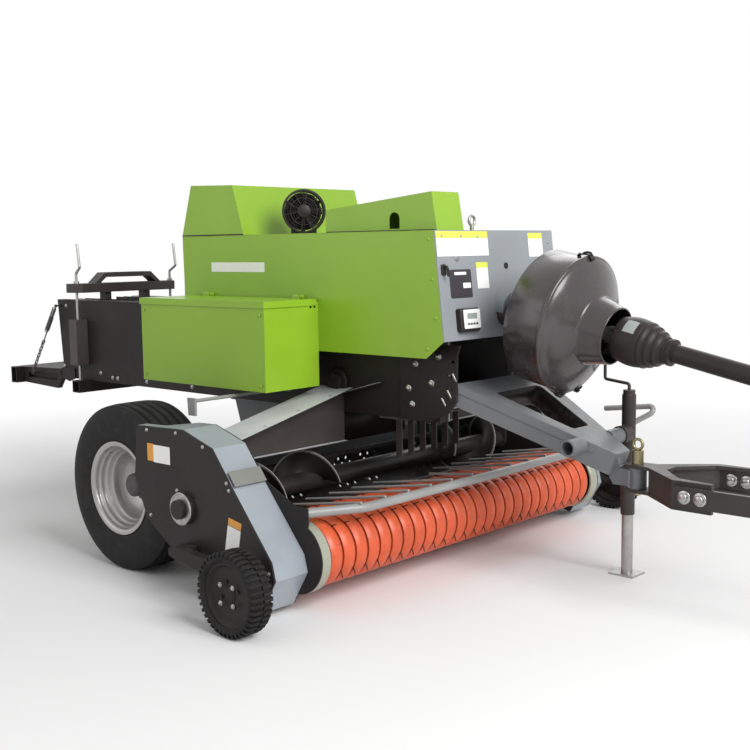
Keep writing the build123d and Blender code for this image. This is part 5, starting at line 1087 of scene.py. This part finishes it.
def drawbar_welds():
    """Weld beads: a tube whose radius ripples, along each seam of the drawbar's nose."""
    seams = (((1.975, -0.052, 0.47), (1.975, -0.052, 0.54)),
             ((1.975, 0.052, 0.47), (1.975, 0.052, 0.54)),
             ((1.93, -0.044, 0.553), (1.93, 0.044, 0.553)))
    ripple = 0.0045 + 0.0008 * np.sin(np.linspace(0, 60, 40))
    return joined([tube(line(start, end, 40), ripple, 6) for start, end in seams])


def stepped_rim(side, sign):
    """Pressed wheel rim: a closed (height, radius) loop, from the lip down the stepped well to
    the dished disc and back behind it, turned about the axle."""
    low, high = box_of(f"wheel_rim_{side}")
    face = np.array([(0.1303, 0.2128), (0.13, 0.2075), (0.1293, 0.201), (0.127, 0.1935),
                     (0.122, 0.1895), (0.112, 0.1875), (0.104, 0.1865), (0.1, 0.181),
                     (0.093, 0.1785), (0.08, 0.1775), (0.075, 0.172), (0.068, 0.1655),
                     (0.056, 0.164), (0.051, 0.157), (0.046, 0.1525), (0.026, 0.151),
                     (0.02, 0.147), (0.004, 0.142), (-0.012, 0.127), (-0.024, 0.112),
                     (-0.03, 0.104), (-0.03, 0.0625)])
    back = np.array([(-0.04, 0.0625), (-0.04, 0.104), (-0.02, 0.128), (-0.006, 0.143),
                     (-0.006, 0.152), (-0.0773, 0.152), (-0.0933, 0.188), (-0.1303, 0.188),
                     (-0.1303, 0.213), (-0.1243, 0.213), (-0.1243, 0.194), (-0.0903, 0.194),
                     (-0.0743, 0.158), (0.045, 0.158), (0.052, 0.172), (0.078, 0.186),
                     (0.104, 0.194), (0.1243, 0.194), (0.1243, 0.213)])
    return lathe(np.vstack([face, back]), (low + high) / 2, (0.0, sign, 0.0), 128)


def hood_shadow_strips():
    """Dark strips along the feet of the hoods: painted shadow in the gaps there."""
    seams = ((-0.372, 0.092, -0.4312), (0.606, 1.25, -0.3812), (-0.372, 0.092, 0.4312))
    return joined([strap(line((rear, y, 1.5172), (front, y, 1.5172), 4), UP, 0.0045, 0.003)
                   for rear, front, y in seams])


def fan_shade_disc():
    """Dark disc behind the fan, which closes its shroud: painted shade inside it."""
    disc = np.array([(-0.046, 0.0), (-0.046, 0.09), (-0.042, 0.09), (-0.042, 0.0)])
    return lathe(disc, *fan_line(), 48)


def slot_washers():
    """Bright slotted washers on the drawbar's brackets: short rounded bars, each tilted."""
    steep = np.array([-0.5, 0.0, 0.87])
    parts = []
    for x, z in ((1.285, 0.895), (1.257, 0.821), (1.226, 0.784)):
        for _, sign in SIDES:
            centre = at_axle([(x, sign * 0.3103, z)])[0]
            across = np.cross(steep, (0.0, sign, 0.0))
            parts.append(panel(centre, across, steep, (0.011, 0.042), 0.003, 0.005))
    return joined(parts)


def chain_springs():
    """Springs at the top of the chute's chains: a helix of wire round each chain."""
    ends = [at_axle([(-1.748, sign * 0.338, 1.108), (-1.85, sign * 0.338, 0.966)])
            for _, sign in SIDES]
    return joined([spring(start, end, 0.011, 0.0028, 15) for start, end in ends])


def support_chains():
    """The chute's chains as a copy of their own, baked in place of the imported ones."""
    source = bpy.data.objects["chute_chains"]
    mesh = source.data.copy()
    mesh.transform(source.matrix_world)
    chains = new_piece("support_chains", mesh, "iron")
    bend_with_chute(chains)
    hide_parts("chute_chains")


def feeder_shield():
    """Back shield between the wings, under the chamber: a flat section carried along Y."""
    low, high = 0.512, 0.689
    middle = (low + high) / 2
    path = line((0.47, -0.305, middle), (0.47, 0.305, middle), 3)
    return strap(path, UP, high - low, 0.004)


def wing_gussets():
    """Gusset strips that carry the wings' flanges on along the chamber's sides."""
    return joined([strap(line((0.655, sign * 0.33, 0.783), (0.862, sign * 0.318, 0.842), 4),
                         LEFT, 0.036, 0.006) for _, sign in SIDES])


def blanking_disc():
    """Painted disc over the front plate's spare hole."""
    profile = np.array([(0.0, 0.0), (0.0, 0.0165), (0.0009, 0.016), (0.0012, 0.0)])
    return lathe(profile, on_front(-0.3, 1.4), FRONT_OUT, 32)


def guard_pale_patch():
    """Pale patch on the upper side of the guard's bell: a patch of the bell's own surface of
    revolution, lifted off it."""
    side, up, _ = frames_of(DRIVE_AXIS[None])
    share = np.linspace(0.35, 0.8, 6)[:, None]
    lean = np.pi / 4 + np.linspace(-0.3, 0.32, 9)[None]
    radius = bell_radius(share) + 0.0006
    view = -side[0] if side[0][1] > 0 else side[0]
    top = up[0] if up[0][2] > 0 else -up[0]
    along = BELL_START + BELL_LONG * share + 0 * lean
    return surface(DRIVE_BASE + DRIVE_AXIS * along[..., None]
                   + around(view, top, lean[..., None]) * radius[..., None])


def guard_rivets():
    """Snap rivets round the mouth of the guard's bell."""
    side, up, _ = frames_of(DRIVE_AXIS[None])
    way = around(side, up, np.radians(np.arange(15, 375, 60.0))[:, None])
    seats = DRIVE_BASE + DRIVE_AXIS * 0.234 + way * 0.0925
    return spun(np.array([(0.0, 0.0), (0.0, 0.0052), (0.0022, 0.004), (0.003, 0.0)]), seats, way,
                10)


# The drawbar's legs fall from DRAW_TOP and draw together, from LEG_APART to NOSE_APART off the
# middle plane
DRAW_FALL = np.radians(23.0)
DRAW_REACH = (1.29, 1.919)
LEG_APART = 0.3
NOSE_APART = 0.055
LEG_WIDE = 0.092
DRAW_TOP = at_axle([(DRAW_REACH[0], 0.0, 0.868)])[0]
DRAW_ALONG = np.array([np.cos(DRAW_FALL), 0.0, -np.sin(DRAW_FALL)])
DRAW_UP = np.array([np.sin(DRAW_FALL), 0.0, np.cos(DRAW_FALL)])
DRAW_LONG = (DRAW_REACH[1] - DRAW_REACH[0]) / np.cos(DRAW_FALL)
LEG_TAPER = (NOSE_APART - LEG_APART) / DRAW_LONG


def on_leg(along, lift, below):
    """Point on the right leg's outer face: along the slope, lifted off it, below its top."""
    half = LEG_APART + LEG_TAPER * along
    return DRAW_TOP + DRAW_ALONG * along - DRAW_UP * below + np.array([0.0, -half - lift, 0.0])


def leg_flanges():
    """Flange strip along the top of each drawbar leg's outer face, carried down the slope."""
    path = np.stack([on_leg(along, 0.0015, 0.019) for along in (0.0, 0.25, 0.45, 0.6)])
    return joined([strap(path * [1.0, way, 1.0], DRAW_UP, 0.034, 0.004) for way in (1.0, -1.0)])


def window_shadow_skin():
    """Painted shadow: a dark inner skin of the drawbar's window that stands for the shade in it, an
    outline with a quadratic curve at each corner, carried down through the drawbar's depth a little inside the
    walls."""
    corner_reach = 0.022
    start, end = 0.11, 0.68 * DRAW_LONG
    start_half = LEG_APART + LEG_TAPER * start - LEG_WIDE
    end_half = LEG_APART + LEG_TAPER * end - LEG_WIDE + 0.018
    corners = np.array([(start, start_half), (start, -start_half), (end, -end_half),
                        (end, end_half)])
    outline = []
    for index in range(4):
        before, corner, after = corners[index - 1], corners[index], corners[(index + 1) % 4]
        back = (before - corner) / np.linalg.norm(before - corner)
        ahead = (after - corner) / np.linalg.norm(after - corner)
        half_angle = np.arccos(back @ ahead) / 2
        reach = corner_reach / np.tan(half_angle)
        share = np.linspace(0, 1, 6)[:, None]
        first, last = corner + back * reach, corner + ahead * reach
        outline.append((1 - share) ** 2 * first + 2 * share * (1 - share) * corner
                       + share ** 2 * last)
    outline = np.vstack(outline)
    middle = outline.mean(axis=0)
    out = outline - middle
    rings = []
    for inward, below in ((0.0012, 0.004), (0.0012, 0.094), (0.0032, 0.094), (0.0032, 0.004)):
        shrunk = middle + out * (1 - inward / np.linalg.norm(out, axis=1, keepdims=True))
        rings.append(DRAW_TOP + DRAW_ALONG * shrunk[:, :1] - DRAW_UP * below
                     + np.array([0.0, 1.0, 0.0]) * shrunk[:, 1:])
    return surface(np.stack(rings), wrap_u=True, wrap_v=True)


class BALER_OT_finishes(bpy.types.Operator):
    """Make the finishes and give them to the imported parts"""

    bl_idname = "baler.finishes"
    bl_label = "Paint the packed parts"

    def execute(self, context):
        make_finishes()
        finish_nodes()
        return {"FINISHED"}


class BALER_OT_wheels(bpy.types.Operator):
    """Put ribbed tyres on the main wheels and bolts on the gauge wheels"""

    bl_idname = "baler.wheels"
    bl_label = "Wheels"

    def execute(self, context):
        groove = context.scene.baler_sizes.groove_depth
        for side, sign in SIDES:
            add(f"ribbed_tyre_{side}", main_tyre(side, sign, groove), f"wheel_{side}",
                "tyre_rubber", replaces=[f"wheel_tyre_{side}"], sharp=40)
            add(f"gauge_bolts_{side}", gauge_bolts(side, sign), f"gauge_{side}", "bare_steel",
                "zinc")
            add(f"stepped_rim_{side}", stepped_rim(side, sign), f"wheel_{side}", "rim_silver",
                replaces=[f"wheel_rim_{side}"], sharp=50)
        return {"FINISHED"}


class BALER_OT_reel(bpy.types.Operator):
    """Put crowned stripper bands round a reel with spring tines"""

    bl_idname = "baler.reel"
    bl_label = "Reel and stripper bands"

    def execute(self, context):
        sizes = context.scene.baler_sizes
        add("crowned_bands", stripper_bands(sizes.band_crown), "pickup", "band_orange",
            replaces=["stripper_bands"], sharp=50)
        add("tined_reel", tined_reel(sizes.tine_radius), "reel", "shield_black",
            replaces=["reel"])
        return {"FINISHED"}


class BALER_OT_driveline(bpy.types.Operator):
    """Make the moulded flywheel cover with its latches and the guard's ribbed bell"""

    bl_idname = "baler.driveline"
    bl_label = "Flywheel cover and guard"

    def execute(self, context):
        add("moulded_cover", flywheel_cover(), "frame", "cover_plastic",
            replaces=["flywheel_cover"], sharp=45)
        add("cover_latches", cover_latches(), "frame", "guard_plastic")
        add("ribbed_guard", guard_bell(), "driveline", "guard_plastic",
            replaces=["guard_rear"], sharp=45)
        add("guard_pale_patch", guard_pale_patch(), "driveline", "guard_plastic", "screen_grey")
        add("guard_rivets", guard_rivets(), "driveline", "guard_plastic", "zinc")
        return {"FINISHED"}


class BALER_OT_body(bpy.types.Operator):
    """Put plates, counter, labels, screws and fan guard on the body"""

    bl_idname = "baler.body"
    bl_label = "Body fittings"

    def execute(self, context):
        for name, finish, plates in FRONT_PLATES:
            add(name, joined([plate_on_front(*plate) for plate in plates]), "frame", "grey_plate",
                finish, sharp=35)
        add("front_catch", front_catch(), "frame", "grey_plate", "guard_plastic", sharp=35)
        add("service_grommet", service_grommet(), "frame", "grey_plate", "guard_plastic",
            sharp=35)
        add("front_screws", front_screws(), "frame", "bare_steel", "zinc", sharp=35)
        add("side_strip", side_strip(), "frame", "body_green", "label_white", sharp=25)
        add("panel_screws", panel_screws(), "frame", "body_green")
        add("box_screws", box_screws(), "frame", "body_green")
        add("fan_guard", fan_guard(), "frame", "guard_plastic")
        # Painted shade inside the fan's shroud
        add("fan_shade_disc", fan_shade_disc(), "frame", "guard_plastic")
        # Painted shadow along the feet of the hoods
        add("hood_shadow_strips", hood_shadow_strips(), "frame", "guard_plastic")
        add("blanking_disc", blanking_disc(), "frame", "grey_plate")
        return {"FINISHED"}


class BALER_OT_pickup(bpy.types.Operator):
    """Put the perforated pan, labels, screws and bearing faces on the pick-up"""

    bl_idname = "baler.pickup"
    bl_label = "Pick-up fittings"

    def execute(self, context):
        pan = add("perforated_pan", trough_pan(), "pickup", "chamber_black",
                  replaces=["auger_trough"])
        wall = pan.modifiers.new("Wall", "SOLIDIFY")
        wall.thickness = 0.0035
        wall.offset = 1.0
        for side, sign in SIDES:
            fields, heads = shield_labels(sign)
            add(f"shield_labels_{side}", fields, "pickup", "shield_black", "label_white",
                sharp=25)
            add(f"shield_label_heads_{side}", heads, "pickup", "shield_black", "label_orange",
                sharp=25)
            add(f"shield_screws_{side}", shield_bolts(sign), "pickup", "bare_steel", "zinc")
            add(f"bearing_flange_{side}", bearing_face(sign), "pickup", "bare_steel", "zinc",
                sharp=35)
            add(f"strip_splice_{side}", strip_splice(sign), "pickup", "strip_grey",
                "splice_grey", sharp=25)
        return {"FINISHED"}


class BALER_OT_fittings(bpy.types.Operator):
    """Put bolts, weld beads and bearings on the frame, the chamber and the hitch"""

    bl_idname = "baler.fittings"
    bl_label = "Frame fittings"

    def execute(self, context):
        add("frame_bolts", frame_bolts(), "frame", "bare_steel", "zinc")
        add("hitch_bolts", hitch_bolts(), "hitch", "bare_steel", "zinc")
        add("packer_bearing", packer_bearing(), "frame", "chamber_black", sharp=35)
        add("nose_welds", drawbar_welds(), "frame", "frame_grey")
        add("leg_flanges", leg_flanges(), "frame", "frame_grey", sharp=30)
        # Painted shadow inside the drawbar's window
        add("window_shadow_skin", window_shadow_skin(), "frame", "frame_grey", "chamber_black")
        add("slot_washers", slot_washers(), "frame", "bare_steel", "zinc")
        add("chain_springs", chain_springs(), None, "bare_steel", "iron")
        support_chains()
        add("feeder_shield", feeder_shield(), "frame", "chamber_black")
        # The gussets share the wings' finish, with its painted light where they face up
        add("wing_gussets", wing_gussets(), "frame", "frame_grey", "wing_paint_with_painted_light")
        return {"FINISHED"}


# --- Stage -----------------------------------------------------------------------------------

# Place in metres, angles in degrees, lens in millimetres
CAMERA_AT = np.array([3.6824, -4.023, 1.447])
CAMERA_AZIMUTH = 42.432
CAMERA_DOWN = 6.74
CAMERA_ROLL = -0.722
CAMERA_LENS = 53.85
CAMERA_SHIFT_Y = 0.00667
FLOOR_TONE = (0.86, 0.86, 0.86, 1.0)
# Distances from the middle between which the floor fades to white
FLOOR_FADE = (2.4, 5.6)
FLOOR_HALF = 30.0
WORLD_LIGHT = 0.45


def camera_axes():
    """Right, up and back of the camera, from its azimuth, its fall and its roll."""
    turn, fall, roll = np.radians([CAMERA_AZIMUTH, CAMERA_DOWN, CAMERA_ROLL])
    forward = -np.array([np.sin(turn) * np.cos(fall), -np.cos(turn) * np.cos(fall), np.sin(fall)])
    level = np.cross(forward, [0.0, 0.0, 1.0])
    level /= np.linalg.norm(level)
    up = np.cross(level, forward)
    right = level * np.cos(roll) + up * np.sin(roll)
    return right, np.cross(right, forward), -forward


def floor_finish():
    """Pale floor that keeps the machine's shadow and fades to white further out."""
    tree = Tree("Pale floor")
    tree.finish(FLOOR_TONE, 0.9)
    spread = tree.add("ShaderNodeVectorMath", operation="LENGTH", inputs={0: tree.place()})
    far = tree.ramp(spread.outputs["Value"], *FLOOR_FADE)
    seen = tree.add("ShaderNodeLightPath").outputs["Is Camera Ray"]
    glow = tree.add("ShaderNodeEmission", inputs={"Color": WHITE, "Strength": 1.0})
    blend = tree.add("ShaderNodeMixShader", inputs={0: tree.math("MULTIPLY", far, seen)})
    tree.links.new(tree.shader.outputs[0], blend.inputs[1])
    tree.links.new(glow.outputs[0], blend.inputs[2])
    tree.links.new(blend.outputs[0], tree.nodes["Material Output"].inputs["Surface"])
    return tree.material


LAMPS = (
    # name, place, aim, power in watts, size
    ("Key", (7.4, -1.6, 5.2), (0.0, 0.0, 0.7), 680.0, 4.5),
    ("Fill", (-3.5, -6.5, 3.6), (-0.6, 0.0, 0.8), 70.0, 5.0),
    ("Back", (-2.0, 6.5, 5.5), (0.0, 0.0, 0.8), 130.0, 5.0),
)


def add_lamp(name, place, aim, power, size):
    """Square area lamp at a place, turned towards its aim."""
    data = bpy.data.lights.new(name, "AREA")
    data.energy = power
    data.size = size
    lamp = bpy.data.objects.new(name, data)
    bpy.context.scene.collection.objects.link(lamp)
    lamp.location = place
    lamp.rotation_euler = (Vector(aim) - Vector(place)).to_track_quat("-Z", "Y").to_euler()


def add_floor(scene):
    """Flat square floor."""
    corners = np.array([[(x, y, 0.0) for x in (-FLOOR_HALF, FLOOR_HALF)]
                        for y in (-FLOOR_HALF, FLOOR_HALF)])
    points, quads = surface(corners)
    mesh = bpy.data.meshes.new("floor")
    mesh.from_pydata(points.tolist(), [], quads[:, ::-1].tolist())
    floor = bpy.data.objects.new("floor", mesh)
    mesh.materials.append(floor_finish())
    scene.collection.objects.link(floor)


def add_world(scene):
    """Even white light, and full white where the camera, glass or metal looks past the floor."""
    world = bpy.data.worlds.new("Studio")
    scene.world = world
    world.use_nodes = True
    nodes, links = world.node_tree.nodes, world.node_tree.links
    light = nodes["Background"]
    light.inputs["Color"].default_value = WHITE
    light.inputs["Strength"].default_value = WORLD_LIGHT
    seen = nodes.new("ShaderNodeBackground")
    seen.inputs["Color"].default_value = WHITE
    path = nodes.new("ShaderNodeLightPath")
    mix = nodes.new("ShaderNodeMixShader")
    seen_by = path.outputs["Is Camera Ray"]
    for ray in ("Is Glossy Ray", "Is Transmission Ray"):
        either = nodes.new("ShaderNodeMath")
        either.operation = "MAXIMUM"
        links.new(seen_by, either.inputs[0])
        links.new(path.outputs[ray], either.inputs[1])
        seen_by = either.outputs[0]
    links.new(seen_by, mix.inputs[0])
    links.new(light.outputs[0], mix.inputs[1])
    links.new(seen.outputs[0], mix.inputs[2])
    links.new(mix.outputs[0], nodes["World Output"].inputs["Surface"])


def add_camera(scene):
    """Camera at its place, turned to its axes."""
    turn = Matrix(np.stack(camera_axes(), axis=1).tolist()).to_4x4()
    data = bpy.data.cameras.new("Camera")
    data.lens = CAMERA_LENS
    data.shift_y = CAMERA_SHIFT_Y
    camera = bpy.data.objects.new("Camera", data)
    scene.collection.objects.link(camera)
    camera.matrix_world = Matrix.Translation(CAMERA_AT.tolist()) @ turn
    scene.camera = camera


class BALER_OT_stage(bpy.types.Operator):
    """Set up the floor, the lamps, the world and the camera"""

    bl_idname = "baler.stage"
    bl_label = "Stage"

    def execute(self, context):
        scene = context.scene
        add_floor(scene)
        for lamp in LAMPS:
            add_lamp(*lamp)
        add_world(scene)
        add_camera(scene)
        scene.view_settings.view_transform = "Standard"
        return {"FINISHED"}


STEPS = (BALER_OT_finishes, BALER_OT_wheels, BALER_OT_reel, BALER_OT_driveline, BALER_OT_body,
         BALER_OT_pickup, BALER_OT_fittings, BALER_OT_stage)


class BALER_PT_panel(bpy.types.Panel):
    """Buttons for every step, with the sizes and the colours"""

    bl_idname = "BALER_PT_panel"
    bl_label = "Square baler"
    bl_space_type = "VIEW_3D"
    bl_region_type = "UI"
    bl_category = "Baler"

    def draw(self, context):
        for step in STEPS:
            self.layout.operator(step.bl_idname)
        for group in (context.scene.baler_sizes, context.scene.baler_colours):
            for name in group.__annotations__:
                self.layout.prop(group, name)


CLASSES = (BalerSizes, BalerColours, *STEPS, BALER_PT_panel)


def register():
    """Register the classes and hang the settings on the scene."""
    for item in CLASSES:
        bpy.utils.register_class(item)
    bpy.types.Scene.baler_sizes = bpy.props.PointerProperty(type=BalerSizes)
    bpy.types.Scene.baler_colours = bpy.props.PointerProperty(type=BalerColours)


def unregister():
    """Undo register."""
    del bpy.types.Scene.baler_colours
    del bpy.types.Scene.baler_sizes
    for item in reversed(CLASSES):
        bpy.utils.unregister_class(item)


def main():
    """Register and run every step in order."""
    register()
    bpy.ops.baler.finishes()
    bpy.ops.baler.wheels()
    bpy.ops.baler.reel()
    bpy.ops.baler.driveline()
    bpy.ops.baler.body()
    bpy.ops.baler.pickup()
    bpy.ops.baler.fittings()
    bpy.ops.baler.stage()


if __name__ == "__main__":
    main()
